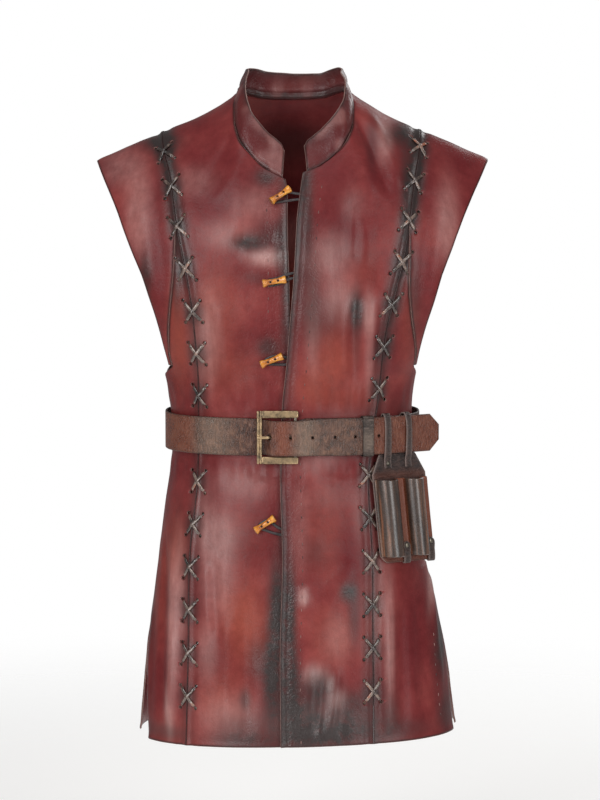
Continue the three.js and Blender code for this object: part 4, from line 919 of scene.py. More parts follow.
def cut_size(grid):
    """The flat width and length of a panel's cut and its flat area, in metres."""
    points = grid["points"]
    across = np.linalg.norm(np.diff(points, axis=1), axis=-1)
    along = np.linalg.norm(np.diff(points, axis=0), axis=-1)
    rows = across.sum(1)
    mid = (rows[1:] + rows[:-1]) / 2
    area = (mid * along.mean(1)).sum()
    return rows.max() * MM, along.sum(0).max() * MM, area * MM * MM


def make_front(side):
    corner = NECK_START[side]
    paths = even_paths(HEM_PATH, SHOULDER, 2.8, (corner,))
    paths = np.sort(np.append(paths, corner - 0.3))
    grid = lay_panel(paths, 56, lambda p: front_edge(side, p), beside(laced_seam, side, -1))
    start, stop, path = grid["start"], grid["stop"], grid["path"]
    z = grid["points"][..., 2]
    at_front = 1 - smooth(path, corner - 2, corner + 2)
    front_lip = rolled_lip(start) * (1.0 if side == "left" else 0.55)
    lips = (
        at_front * front_lip + (1 - at_front) * seam_dip(start) + lace_lip(stop)
        + hem_flare(grid["first"]) + seam_dip(grid["last"])
    )
    lap = LAP * (1 - smooth(grid["points"][..., 0], 16, 72)) if side == "left" else 0.0
    wide = 11 if side == "right" else 12
    wax = pick(EDGE_WAX, "z", side, z) * at_front * np.exp(-np.abs(start / wide) ** 2.2)
    strip = smooth(start, 3, 9) * (1 - smooth(start, 26, 40)) * at_front
    pebble = strip * (np.where(z < -480, 1.0, 0.55) if side == "left" else
                      np.where(z > -380, 1.0, 0.35))
    return finish_panel(f"{side}_front", grid, lips, stop, pebble, wax, lap)


def make_wing(side):
    low = WING_LOWEST - CHEST
    paths = even_paths(low, FULL_TURN - low, 3.2)
    grid = lay_panel(paths, 30, beside(wing_seam, side, 1),
                     lambda p: around_at(SIGN[side] * edge_at(ARMHOLE, side, p), p))
    level = to_front(grid["path"])
    top = smooth(level, WING_TOP_OF_SIDE - 8, WING_TOP_OF_SIDE + 4)
    lips = top * lace_lip(grid["start"]) + (1 - top) * seam_dip(grid["start"])
    lips = lips + armhole_curl(grid["stop"])
    reach = grid["start"] + (1 - top) * 14
    return finish_panel(f"{side}_wing", grid, lips, reach)


def side_edge(side, back):
    """The outer edge of a side panel: the wing's seam, then the side seam or the vent."""
    sign = SIGN[side]

    def edge(path):
        level = FULL_TURN - path if back else path
        z = CHEST + np.minimum(level, 0)
        upper = beside(wing_seam, side, -1)(path)
        depth = pick(RINGS, "z", "back" if back else "front", z)
        closed = sign * np.arccos((BUTT_SEAM / 2 / depth) ** (ROUND / 2))
        stop = np.full(z.shape, 90.0) if back else pick(VENT, "z", side, z)
        lower = np.where(stop < 89.9, sign * np.radians(stop), closed)
        share = smooth(z, SIDE_SEAM_TOP, WING_LOWEST)
        return lower + (upper - lower) * share

    return edge


def make_side(side, back):
    ends = (HEM_PATH, WING_TOP_OF_SIDE)
    if back:
        ends = (FULL_TURN - ends[1], FULL_TURN - ends[0])
    grid = lay_panel(even_paths(*ends, 2.9), 26, beside(laced_seam, side, 1),
                     side_edge(side, back))
    hem = grid["last" if back else "first"]
    lips = lace_lip(grid["start"]) + seam_dip(grid["stop"]) + hem_flare(hem)
    name = f"{side}_side_{'back' if back else 'front'}"
    return finish_panel(name, grid, lips, grid["start"])


def make_back():
    def level(path, x):
        top = pick(NECK_BACK, "x", "path", np.abs(x))
        share = (path - SHOULDER) / (BACK_TOP_BLEND - SHOULDER)
        return np.where(path >= BACK_TOP_BLEND, path, top + (BACK_TOP_BLEND - top) * share)

    paths = even_paths(SHOULDER, FULL_TURN - HEM_PATH, 3.4, (BACK_TOP_BLEND,))
    grid = lay_panel(paths, 100, *(beside(laced_seam, side, -1) for side in SIGN), level)
    laced = np.minimum(grid["start"], grid["stop"])
    lips = lace_lip(laced) + seam_dip(grid["first"]) + hem_flare(grid["last"])
    return finish_panel("back_panel", grid, lips, laced)


panels = {}
for side in SIGN:
    panels[f"front_{side}"] = make_front(side)
    panels[f"wing_{side}"] = make_wing(side)
    panels[f"side_front_{side}"] = make_side(side, False)
    panels[f"side_back_{side}"] = make_side(side, True)
panels["back"] = make_back()
for node, (piece, grid) in panels.items():
    size = [round(v, 3) for v in cut_size(grid)]
    print(f"{piece.name}: {len(piece.data.polygons)} faces, cut (m, m, m2) {size}")

# %% [markdown]
# ## Standing collar
# A single band of the same leather is sewn into the neck and stands against it, higher in front
# than behind. It is stiff with old wax, wrinkled where it bends, and its base shows a dark corded
# seam. It follows the neck edge of the finished panels, so it is laid as a grid along that edge.

# %% The collar
COLLAR_HEIGHT = table("y right left", "-85 47 46, -20 33 29, 40 31 28")
COLLAR_LEAN = table("y right left", "-85 25 23, -20 28 20, 40 12 12")
NECK_AXIS_Y = -8.0


def even_line(points, step):
    """A line's points again, evenly about `step` apart."""
    run = run_of(points[:, :3])
    marks = np.linspace(0, run[-1], max(2, round(run[-1] / step) + 1))
    columns = [np.interp(marks, run, points[:, k]) for k in range(points.shape[1])]
    return np.stack(columns, 1), marks


def neck_line():
    """The neck edge from the wearer's right front round the back, with its outward directions."""
    fronts = []
    for side in SIGN:
        grid = panels[f"front_{side}"][1]
        both = np.concatenate([grid["points"], grid["facing"]], -1)
        fronts.append(both[grid["path"][:, 0] >= NECK_START[side], 0])
    grid = panels["back"][1]
    behind = np.concatenate([grid["points"], grid["facing"]], -1)[0]
    behind = behind[np.abs(behind[:, 0]) < 72]
    return even_line(np.concatenate([fronts[0], behind, fronts[1][::-1]]), 2.6)


def make_collar():
    line, marks = neck_line()
    base, out_of_body = line[:, :3], unit(line[:, 3:])
    base = base + out_of_body * relief(base)[:, None] * 0.5
    inward = unit(np.stack([-base[:, 0], NECK_AXIS_Y - base[:, 1], 0 * base[:, 0]], 1))
    away = unit(np.cross(np.gradient(base, axis=0), out_of_body))
    away *= np.sign((away * (inward + UP)).sum(1))[:, None]
    base = base + away * SEAM
    to_left = smooth(base[:, 0], -45, 45)

    def along_neck(rows):
        right, left = (pick(rows, "y", side, base[:, 1]) for side in SIGN)
        return right + (left - right) * to_left

    lean = np.radians(along_neck(COLLAR_LEAN))[:, None]
    end = np.minimum(marks, marks[-1] - marks)
    height = along_neck(COLLAR_HEIGHT)
    height = height * (1 - 0.05 * (1 - smooth(end, 6, 22)) - 0.12 * (1 - smooth(end, 0, 8)))
    height = height + 0.7 * lumps(base, 24, 21)
    rise = UP * np.cos(lean) + inward * np.sin(lean)
    out = -inward * np.cos(lean) + UP * np.sin(lean)
    tucked = np.array([-6.0, -4.0, -1.5])
    climb = np.concatenate([np.tile(tucked, (len(base), 1)), spread(18, height)], 1)
    share = np.clip(climb / height[:, None], 0, 1)
    above = np.maximum(climb, 0)[..., None]
    below = np.minimum(climb, 0)[..., None]
    spots = base[:, None] + rise[:, None] * above + away[:, None] * below
    bulge = 2 * np.sin(share * np.pi)
    wrinkles = 0.9 * lumps(spots, (16, 16, 30), 22) + 0.5 * lumps(spots, (7, 7, 13), 23)
    cord = 0.9 * hill(climb, 3.0, 1.5) - 0.8 * hill(climb, 6.4, 1.6)
    top = height[:, None] - climb
    roll = 0.6 * hill(top, 0, 2.6)
    across = np.broadcast_to(end[:, None], climb.shape)
    edge = np.minimum(top, across)
    rim = RIM_DROP * (np.minimum(edge, climb + 6) <= 0)
    lift = bulge + wrinkles * smooth(climb, 2, 10) + cord + roll - rim
    # Its foot is tucked in behind the neck edge and comes out over the first 2.5 mm.
    seat = unit(out + out_of_body)
    foot = (LEATHER + 0.5) * (1 - smooth(climb, 0, 2.5))
    way = seat[:, None] + (out - seat)[:, None] * smooth(climb, 0, 4)[..., None]
    outer = spots + way * (lift - foot)[..., None]
    inner = outer - way * (LEATHER - 2 * rim)[..., None]
    wear_and_light = wear_and_light_of(spots, edge, climb + 60, 0.5 + 0 * climb)
    rubbed = smooth(lumps(spots, (20, 20, 26), 25), 0.1, 0.6)
    wear_and_light["wax_and_shade"] = 0.30 + 0.5 * hill(climb, 0, 5) + 0.35 * hill(top, 0, 9)
    wear_and_light["wax_and_shade"] = np.clip(wear_and_light["wax_and_shade"] * (1 - 0.6 * rubbed), 0, 1)
    wear_and_light["bare"] = 0.35 * rubbed
    wear_and_light["deep"] = 0.5 + 0 * climb
    wear_and_light["warm"] = 0.3 * smooth(lumps(spots, 30, 26), 0, 0.5)
    piece = grid_mesh("standing_collar", outer, inner, JERKIN_LEATHER, wear_and_light)
    area = ((height[1:] + height[:-1]) / 2 + 6).sum() * marks[1] * MM * MM
    return piece, (marks[-1] * MM, (height.max() + 6) * MM), area


collar, COLLAR_CUT, collar_area = make_collar()
print("collar cut:", [round(v, 3) for v in COLLAR_CUT], "m, area", round(collar_area, 4), "m2")

# %% [markdown]
# ## Holes and thongs
# The long seams are not sewn: the edges butt together and two flat thongs lace them, crossing
# over the seam and running up behind the leather to the next pair of holes. The holes are real.
# Geometry Nodes suit both jobs. One tree puts a punch at each hole's place and cuts it out of the
# panel; another sweeps a thong's flat section along its route. Both take their sizes as inputs.

# %% Building and applying node trees
def new_tree(name, **sockets):
    """An empty geometry tree with named inputs: what adds nodes to it, and those inputs."""
    tree = bpy.data.node_groups.new(name, "GeometryNodeTree")
    tree.interface.new_socket("Geometry", in_out="INPUT", socket_type="NodeSocketGeometry")
    for label, kind in sockets.items():
        tree.interface.new_socket(label, in_out="INPUT", socket_type=f"NodeSocket{kind}")
    tree.interface.new_socket("Geometry", in_out="OUTPUT", socket_type="NodeSocketGeometry")
    return functools.partial(add_node, tree), tree.nodes.new("NodeGroupInput").outputs


def close_tree(add, geometry, material):
    """Ends a tree as the export needs it: real geometry, with its material."""
    real = add("RealizeInstances", {"Geometry": geometry})
    finish = add("SetMaterial", {"Geometry": real, "Material": material})
    add("NodeGroupOutput", [finish], None)
    return finish.id_data


def apply_tree(piece, tree, **values):
    """Runs a tree on a piece and keeps the result as its plain mesh."""
    modifier = piece.modifiers.new(tree.name, "NODES")
    modifier.node_group = tree
    for item in tree.interface.items_tree:
        if item.in_out == "INPUT" and item.name in values:
            modifier[item.identifier] = values[item.name]
    bpy.context.view_layer.update()
    graph = bpy.context.evaluated_depsgraph_get()
    mesh = bpy.data.meshes.new_from_object(piece.evaluated_get(graph))
    piece.modifiers.remove(modifier)
    piece.data = mesh
    return piece


def guide(name, lines):
    """A mesh of lines in millimetres, each point with its outward direction kept on it."""
    points, out = (np.concatenate(parts) for parts in zip(*lines))
    starts = np.cumsum([len(line) for line, _ in lines])
    edges = [(k - 1, k) for k in range(1, len(points)) if k not in starts]
    mesh = bpy.data.meshes.new(name)
    mesh.from_pydata((points * MM).tolist(), edges, [])
    layer = mesh.attributes.new("outward", "FLOAT_VECTOR", "POINT")
    layer.data.foreach_set("vector", out.astype("f4").ravel())
    return add_object(name, mesh)


def punch_tree():
    add, given = new_tree("punch_holes", Places="Object", Radius="Float", Depth="Float",
                          Material="Material")
    places = add("ObjectInfo", {"Object": given["Places"]}, "Geometry")
    out = add("InputNamedAttribute", {"Name": "outward"}, "Attribute", data_type="FLOAT_VECTOR")
    turn = add("FunctionNodeAlignRotationToVector", {"Vector": out}, axis="Z")
    punch = add("MeshCylinder", {
        "Vertices": 12, "Radius": given["Radius"], "Depth": given["Depth"]})
    punches = add("InstanceOnPoints", {"Points": places, "Instance": punch, "Rotation": turn})
    real = add("RealizeInstances", {"Geometry": punches})
    cut = add("MeshBoolean", {"Mesh 1": given["Geometry"], "Mesh 2": real},
              operation="DIFFERENCE", solver="MANIFOLD")
    return close_tree(add, cut, given["Material"])


def thong_tree():
    add, given = new_tree("thong", Width="Float", Thickness="Float", Material="Material")
    route = add("MeshToCurve", {"Mesh": given["Geometry"]})
    out = add("InputNamedAttribute", {"Name": "outward"}, "Attribute", data_type="FLOAT_VECTOR")
    turned = add("SetCurveNormal", {"Curve": route, "Normal": out}, mode="FREE")
    circle = add("CurvePrimitiveCircle", {"Resolution": 12, "Radius": 0.5})
    # The section lies flat: its thickness along the leather's outward direction.
    size = add("ShaderNodeCombineXYZ", (given["Thickness"], given["Width"], 1.0))
    flat = add("Transform", {"Geometry": circle, "Scale": size})
    swept = add("CurveToMesh", {"Curve": turned, "Profile Curve": flat, "Fill Caps": True})
    soft = add("SetShadeSmooth", {"Geometry": swept})
    return close_tree(add, soft, given["Material"])


PUNCH = punch_tree()
THONG = thong_tree()


def sweep(name, lines, width, thickness, material):
    """A thong along lines, as wide and as thick as given."""
    return apply_tree(guide(name, lines), THONG, Width=width * MM, Thickness=thickness * MM,
                      Material=material)


def punch_out(piece, places, radius, depth, material):
    """Cuts holes of a radius and depth through a piece, at places with their directions."""
    marks = guide("hole_places", [places])
    apply_tree(piece, PUNCH, Places=marks, Radius=radius * MM, Depth=depth * MM,
               Material=material)
    bpy.data.objects.remove(marks)


print("trees:", PUNCH.name, "and", THONG.name)

# %% [markdown]
# ### Waxed thong
# The thongs are narrow strips of grey-brown leather, waxed and rubbed shiny where they cross.
# Wax and dirt darken them in bands; here and there the tan of the raw leather shows through.

# %% The thong's leather
def banded_leather(name, band, detail, stops, roughness, grain, **settings):
    """A plain cord or strip: bands of colour `band` mm long and a fine grain."""
    material, add, shader, place = new_material(name)
    bands = add("TexNoise", {"Vector": place, "Scale": 1000 / band, **detail})
    height = bands if grain is None else add("TexNoise", {
        "Vector": place, "Scale": 1000 / grain, "Detail": 3.0})
    tone = add("ValToRGB", [bands], stops=stops)
    normal = add("Bump", {"Height": height, "Strength": settings.pop("strength", 0.5),
        "Distance": settings.pop("distance", 0.0005)})
    feed(shader, {"Base Color": tone, "Roughness": roughness, "Normal": normal, **settings})
    return material


THONG_LEATHER = banded_leather(
    "waxed_thong_leather", 26, {"Detail": 5.0, "Roughness": 0.7},
    ((0.36, "#17110f"), (0.47, "#3d2e28"), (0.58, "#7a685e"), (0.66, "#8f5036")), 0.27, 1.6,
    **{"Coat Weight": 0.8, "Coat Roughness": 0.16})
print("material:", THONG_LEATHER.name)

# %% Holes beside the laced seams, and the thongs through them
CROSS_HALF_HEIGHT = 14.5
CROSS_HALF_WIDTH = 11.6
HOLE_RADIUS = 2.4
THONG_WIDTH = 4.2
THONG_THICK = 1.9
THONG_OUTSIDE = 1.5
THONG_BEHIND = -LEATHER - 1.9
THONG_END = 12.0
# The seam's length left over above its last cross.
SPARE_IN_FRONT = 22
SPARE_BEHIND = 14
CROSSING_RISE = 1.5
LACES = [
    # name, side, on the back, first cross above the hem, pitch
    ("front_right", "right", False, 64.0, 56.5),
    ("front_left", "left", False, 69.0, 56.5),
    ("back_right", "right", True, 66.0, 73.0),
    ("back_left", "left", True, 66.0, 73.0),
]


def seam_line(side, back):
    """The seam measured from the hem: lengths in millimetres and the paths they lie at."""
    path = np.linspace(HEM_PATH, 94.0 if back else SHOULDER, 900)
    path = FULL_TURN - path if back else path
    return run_of(on_form(laced_seam(side, path), path)), path


def beside_seam(side, path, distance):
    """Places on the form beside a laced seam: distance below 0 is on the body panel."""
    seam = laced_seam(side, path)
    half = shifted(seam, path, SIGN[side] * distance / 2)
    around = shifted(half, path, SIGN[side] * distance / 2)
    return on_form(around, path), facing(around, path)


def lay_lace(name, side, back, first, pitch):
    lengths, paths = seam_line(side, back)
    reach = lengths[-1] - CROSS_HALF_HEIGHT - (SPARE_BEHIND if back else SPARE_IN_FRONT)
    middles = np.arange(first, reach, pitch)

    def spots(length, distance, lift):
        path = np.interp(length, lengths, paths)
        base, out = beside_seam(side, path, distance)
        height = relief(base) + lace_lip(np.abs(distance)) * 0.8 + lift
        return base + out * height[:, None], out

    corners = [(m + end * CROSS_HALF_HEIGHT, hand * CROSS_HALF_WIDTH)
               for m in middles for end in (-1, 1) for hand in (-1, 1)]
    length, distance = np.array(corners).T
    holes = spots(length, distance, -LEATHER / 2)
    routes = []
    for start in (-1, 1):
        # along the seam, across it, and how high over the leather
        rows = [(middles[0] - CROSS_HALF_HEIGHT - tail, start * CROSS_HALF_WIDTH, THONG_BEHIND)
                for tail in THONG_END * np.array([3, 2, 1]) / 3]
        for k, middle in enumerate(middles):
            hand = start * (-1) ** k
            t = np.linspace(0, 1, 19)
            over = np.minimum(smooth(t, 0, 0.16), 1 - smooth(t, 0.84, 1))
            rise = THONG_OUTSIDE + CROSSING_RISE * (hand > 0) * hill(t, 0.5, 0.2)
            rows += zip(middle + (2 * t - 1) * CROSS_HALF_HEIGHT,
                        hand * CROSS_HALF_WIDTH * (1 - 2 * t),
                        THONG_BEHIND + (rise - THONG_BEHIND) * over)
            last = k == len(middles) - 1
            gap = THONG_END if last else pitch - 2 * CROSS_HALF_HEIGHT
            rows += [(middle + CROSS_HALF_HEIGHT + far, -hand * CROSS_HALF_WIDTH, THONG_BEHIND)
                     for far in np.linspace(0, gap, 9)[1 : None if last else -1]]
        routes.append(spots(*np.transpose(rows)))
    lace = sweep(f"{name}_thongs", routes, THONG_WIDTH, THONG_THICK, THONG_LEATHER)
    print(f"{lace.name}: {len(middles)} crosses, {len(lace.data.polygons)} faces")
    return lace, holes


laces, holes = {}, {}
for name, *rule in LACES:
    laces[name], holes[name] = lay_lace(name, *rule)


# %% Punch the lacing holes
PANEL_PUNCH_DEPTH = 9
CROSS_PATCH = 15.0
CROSS_DARKENING = 0.5


def punch(node, places, radius):
    """Cuts real holes through a panel at places of the form, square to the leather."""
    piece = panels[node][0]
    before = len(piece.data.polygons)
    punch_out(piece, places, radius, PANEL_PUNCH_DEPTH, JERKIN_LEATHER)
    print(f"{piece.name}: {len(places[0])} places, {before} to {len(piece.data.polygons)} faces")


def read_all(rows, key, width):
    """A value of every point of a mesh, as an array of that width."""
    values = np.zeros(len(rows) * width)
    rows.foreach_get(key, values)
    return values.reshape(-1, width)


def darken_crosses(node, places):
    """A soft dark patch round each cross, added to the panel's dark mask."""
    mesh = panels[node][0].data
    points = read_all(mesh.vertices, "co", 3) / MM
    wax_and_shade = read_all(mesh.attributes["wax_and_shade"].data, "value", 1)[:, 0]
    for middle in places[0].reshape(-1, 4, 3).mean(1):
        reach = np.linalg.norm((points - middle) * [1, 1, 0.8], axis=1) / CROSS_PATCH
        wax_and_shade = 1 - (1 - wax_and_shade) * (1 - CROSS_DARKENING * np.exp(-(reach**4)))
    mesh.attributes["wax_and_shade"].data.foreach_set("value", wax_and_shade)


for lace, side, back, *_ in LACES:
    half = "back" if back else "front"
    for node in ("back" if back else f"front_{side}", f"side_{half}_{side}", f"wing_{side}"):
        darken_crosses(node, holes[lace])
        punch(node, holes[lace], HOLE_RADIUS)

# %% [markdown]
# ## Strips of leather
# Belt, keeper, loops and straps are all flat strips bent along a line. A bevelled curve would do,
# but its section can't be worn or tapered, so one function lays rings of a rounded section along
# a line and closes the ends. It keeps each point's place on the strip, in millimetres along,
# across and through, so that a grain can run along the leather and not through space.

# %% Strips and turned shapes
EDGE_DEPTH = 1.2


def ring_faces(count, sides, closed):
    """Faces between rings laid one after another, and the caps of an open run."""
    at = np.arange(count * sides).reshape(count, sides)
    ahead = np.roll(at, -1, 0) if closed else at[1:]
    here = at if closed else at[:-1]
    quads = np.stack([here, np.roll(here, -1, 1), np.roll(ahead, -1, 1), ahead], -1)
    faces = quads.reshape(-1, 4).tolist()
    return faces if closed else faces + [at[0].tolist()[::-1], at[-1].tolist()]


def strip_section(lines):
    """A rounded flat section: across and through from -1 to 1, with unit corner offsets."""
    face = np.sin(np.linspace(-np.pi / 2, np.pi / 2, lines))[1:-1]
    turn = np.radians(np.linspace(90, -90, 7))
    half = np.sign(np.round(np.sin(turn), 6))
    top = np.column_stack([face, 1 + 0 * face, 0 * face, 0 * face])
    side = np.column_stack([1 + 0 * turn, half, np.cos(turn), np.sin(turn) - half])
    foot = (top * [1, -1, 1, 1])[::-1]
    return np.vstack([top, side, foot, (side * [-1, 1, -1, 1])[:0:-1]])


def strip(name, spine, across, out, width, thick, material, lines, relief_of=None,
          closed=False, **kept):
    """A flat strip along a spine, with rounded edges, as a closed mesh."""
    count = len(spine)
    across, out = (np.broadcast_to(way, spine.shape)[:, None] for way in (across, out))
    width = np.broadcast_to(width, count)[:, None]
    thick = np.broadcast_to(thick, count)[:, None]
    round_off = np.minimum(0.42 * thick, 0.42 * width)
    section = strip_section(lines)
    a = section[:, 0] * (width / 2 - round_off) + section[:, 2] * round_off
    b = section[:, 1] * thick / 2 + section[:, 3] * round_off
    step = np.linalg.norm(np.diff(spine, axis=0, append=spine[-1:]), axis=1)
    along = np.broadcast_to(np.concatenate([[0], step[:-1].cumsum()])[:, None], a.shape)
    lay = np.stack([along, a, b], -1)
    if relief_of is not None:
        b = b + relief_of(lay) * (section[:, 1] > 0)
    points = spine[:, None] + across * a[..., None] + out * b[..., None]
    wear_and_light = {key: np.repeat(value, len(section)) for key, value in kept.items()}
    wear_and_light["edge"] = np.exp((np.abs(lay[..., 1]) - width / 2) / EDGE_DEPTH).ravel()
    return new_piece(name, points.reshape(-1, 3), ring_faces(count, len(section), closed),
                     material, lay=lay.reshape(-1, 3), **wear_and_light)


def turned(name, profile, centre, axis, side, material, sides=32):
    """A turned shape: radius at each place along an axis, closed at both ends."""
    along, radius = np.array(profile, float).T
    angle = np.linspace(0, 2 * np.pi, sides, endpoint=False)
    lay = np.stack([np.repeat(along, sides), np.outer(radius, np.cos(angle)).ravel(),
                    np.outer(radius, np.sin(angle)).ravel()], 1)
    points = centre + lay @ np.array([axis, side, np.cross(axis, side)])
    return new_piece(name, points, ring_faces(len(along), sides, False), material, lay=lay)


def bent_line(points, step, rounds):
    """A line with its corners rounded off, evenly stepped."""
    points = np.asarray(points, float)
    for _ in range(rounds):
        near = points[:-1] * 0.75 + points[1:] * 0.25
        far = points[:-1] * 0.25 + points[1:] * 0.75
        middle = np.stack([near, far], 1).reshape(-1, 3)
        points = np.concatenate([points[:1], middle, points[-1:]])
    return even_line(points, step)[0]


print("strip section:", len(strip_section(12)), "points round")

# %% [markdown]
# ## Toggles, ties and loops
# Each toggle is a short length of bamboo, waisted by hand and flared at its ends, with two holes
# drilled across it. A tie runs down through both holes and the right front; a loop of thong from
# under the left front goes round it. The toggle is turned on a lathe in effect: rings of a
# profile round an axis. The bores are cut with the same punch as the lacing holes.

# %% Bamboo and loop leather
def bamboo():
    material, add, shader, _ = new_material("varnished_bamboo")
    lay = add("Attribute", give="Vector", attribute_name="lay")
    # Fibres 0.6 mm wide along the cane, and burnt, smoky ends.
    drawn = add("Mapping", {"Vector": lay, "Scale": (0.06, 1, 1)})
    fibres = add("TexNoise", {"Vector": drawn, "Scale": 1 / 0.6, "Detail": 4.0})
    blush = add("TexNoise", {"Vector": lay, "Scale": 1 / 7, "Detail": 3.0})
    colour = add("ValToRGB", [blush], stops=(
        (0.36, "#8f4a0c"), (0.5, "#cb7c1b"), (0.64, "#e5a03a")))
    along = add("SeparateXYZ", [lay])
    reach = add("Math", [along], operation="ABSOLUTE")
    burnt = add("MapRange", {"Value": reach, "From Min": 13.6, "From Max": 15.9, "To Max": 0.85})
    colour = add("Mix", {0: burnt, 6: colour, 7: "#4d2408"}, 2, data_type="RGBA")
    stripe = add("MapRange", (fibres, 0.35, 0.65, 0.72, 1.12))
    colour = add("Mix", {0: 1.0, 6: colour, 7: stripe}, 2, data_type="RGBA", blend_type="MULTIPLY")
    normal = add("Bump", {"Height": fibres, "Strength": 0.4, "Distance": 0.0004})
    feed(shader, {"Base Color": colour, "Roughness": 0.3, "Coat Weight": 0.6,
                  "Coat Roughness": 0.12, "Normal": normal})
    return material


BAMBOO = bamboo()
LOOP_LEATHER = banded_leather(
    "grey_loop_leather", 6, {"Detail": 5.0, "Roughness": 0.7},
    ((0.36, "#120e0e"), (0.66, "#43383a")), 0.42, None)
print("materials:", BAMBOO.name, LOOP_LEATHER.name)

# %% Four toggles with their ties and loops
TOGGLES = [
    # across, up, turn in degrees; then its loop: comes out, how much higher, how far apart
    (-15.8, -129.8, 37, 24, 0, 6.4), (-23.1, -237.9, 10.4, 21, 8.5, 6.4),
    (-26.1, -338.3, 22.6, 18, -2, 9), (-34.7, -551.9, 34, 18, -11, 7),
]
TOGGLE_PROFILE = [
    (-15.6, 2.2), (-15.6, 4.3), (-15.3, 4.9), (-14.7, 5.25), (-14.0, 5.25), (-13.2, 5.0),
    (-12.2, 4.75), (-11.2, 4.6), (-10.4, 4.35), (-8.6, 4.02), (-6.6, 3.76), (-4.4, 3.56),
    (-2.2, 3.44), (0, 3.4),
]
TOGGLE_PROFILE += [(-along, radius) for along, radius in TOGGLE_PROFILE[-2::-1]]
TOGGLE_LIFT = 8.3
BORE_FROM = 5.0
BORE_RADIUS = 1.5
BORE_DEPTH = 16
TIE_RADIUS = 1.1
TIE_TOP = TOGGLE_LIFT + 1.2
TIE_BEHIND = -LEATHER - 2.0
LOOP_LIFT = 1.5
LOOP_ROOM = 3.9
LOOP_WIDE = 3.6
LOOP_DEEP = 2.2
LOOP_UNDER = 20.0


def on_front(x, z, lift):
    """Places over the front's form at (across, up), and their outward directions."""
    x, z = np.asarray(x, float), np.asarray(z, float)
    path = path_of(x, z)
    base, out = on_form(around_at(x, path), path), facing(around_at(x, path), path)
    return base + out * (relief(base) + lift)[..., None], out


def lay_toggle(number, x, z, turn, comes_out, rise, apart):
    seat, out = on_front([x], [z], 0.0)
    seat, out = seat[0], out[0]
    right = unit(ASIDE - out * out[0])
    up = np.cross(out, right)
    angle = math.radians(turn)
    axis = right * math.cos(angle) + up * math.sin(angle)
    across = np.cross(out, axis)
    centre = seat + out * TOGGLE_LIFT
    toggle = turned(f"bamboo_toggle_{number}", TOGGLE_PROFILE, centre, axis, across, BAMBOO)
    feet = np.array([seat + axis * hand * BORE_FROM for hand in (-1, 1)])
    outward = np.array([out, out])
    punch_out(toggle, (feet + out * TOGGLE_LIFT, outward), BORE_RADIUS, BORE_DEPTH, BAMBOO)
    rout = [(-1, TIE_TOP), (-1, 4), (-1, TIE_BEHIND), (1, TIE_BEHIND), (1, 4), (1, TIE_TOP)]
    tie_line = bent_line([seat + axis * h * BORE_FROM + out * lift for h, lift in rout], 1.0, 2)
    tie = sweep(f"toggle_cord_{number}", [(tie_line, np.tile(across, (len(tie_line), 1)))],
                2 * TIE_RADIUS, 2 * TIE_RADIUS, LOOP_LEATHER)

    def leg(hand):
        return np.array([hand * BORE_FROM * math.cos(angle), hand * BORE_FROM * math.sin(angle)])

    def off(foot, degrees):
        a = math.radians(degrees)
        return foot + LOOP_ROOM * np.array([math.cos(a), math.sin(a)])

    far = leg(-1)
    plan = [
        (comes_out + LOOP_UNDER, rise + apart / 2), (comes_out, rise + apart / 2),
        off(leg(1), 75 + turn / 2), off(far, 100 + turn), off(far, 145 + turn / 2),
        off(far, 190 + turn / 2), off(far, 230 + turn / 2), off(far, 275),
        *([off(leg(1), 290)] if rise > 0 else []),
        (comes_out, rise - apart / 2), (comes_out + LOOP_UNDER, rise - apart / 2),
    ]
    flat = bent_line([(x + a, 0, z + b) for a, b in plan], 1.1, 3)
    loop = sweep(f"thong_loop_{number}", [on_front(flat[:, 0], flat[:, 2], LOOP_LIFT)],
                 LOOP_WIDE, LOOP_DEEP, LOOP_LEATHER)
    return toggle, tie, loop, (feet, outward)


fastenings = [lay_toggle(k + 1, *rule) for k, rule in enumerate(TOGGLES)]
feet = [fastening[3] for fastening in fastenings]
tie_holes = tuple(np.concatenate([foot[k] for foot in feet]) for k in (0, 1))
punch("front_right", tie_holes, BORE_RADIUS)
print("toggles:", [len(f[0].data.polygons) for f in fastenings])

# %% [markdown]
# ## Belt leather
# The belt and its fittings are thick harness leather that has dried and cracked crosswise where
# it bends. The worn face is grey and dull, its pale places partly painted sheen, the parts kept
# under the keeper and loops are still red-brown, and the cut edges are either burnished dark or
# rubbed pale, the pale edges of the carrier's loops partly a painted highlight. The grain follows
# the strip: fine wrinkles across it, from a noise stretched over the strip's own measures.

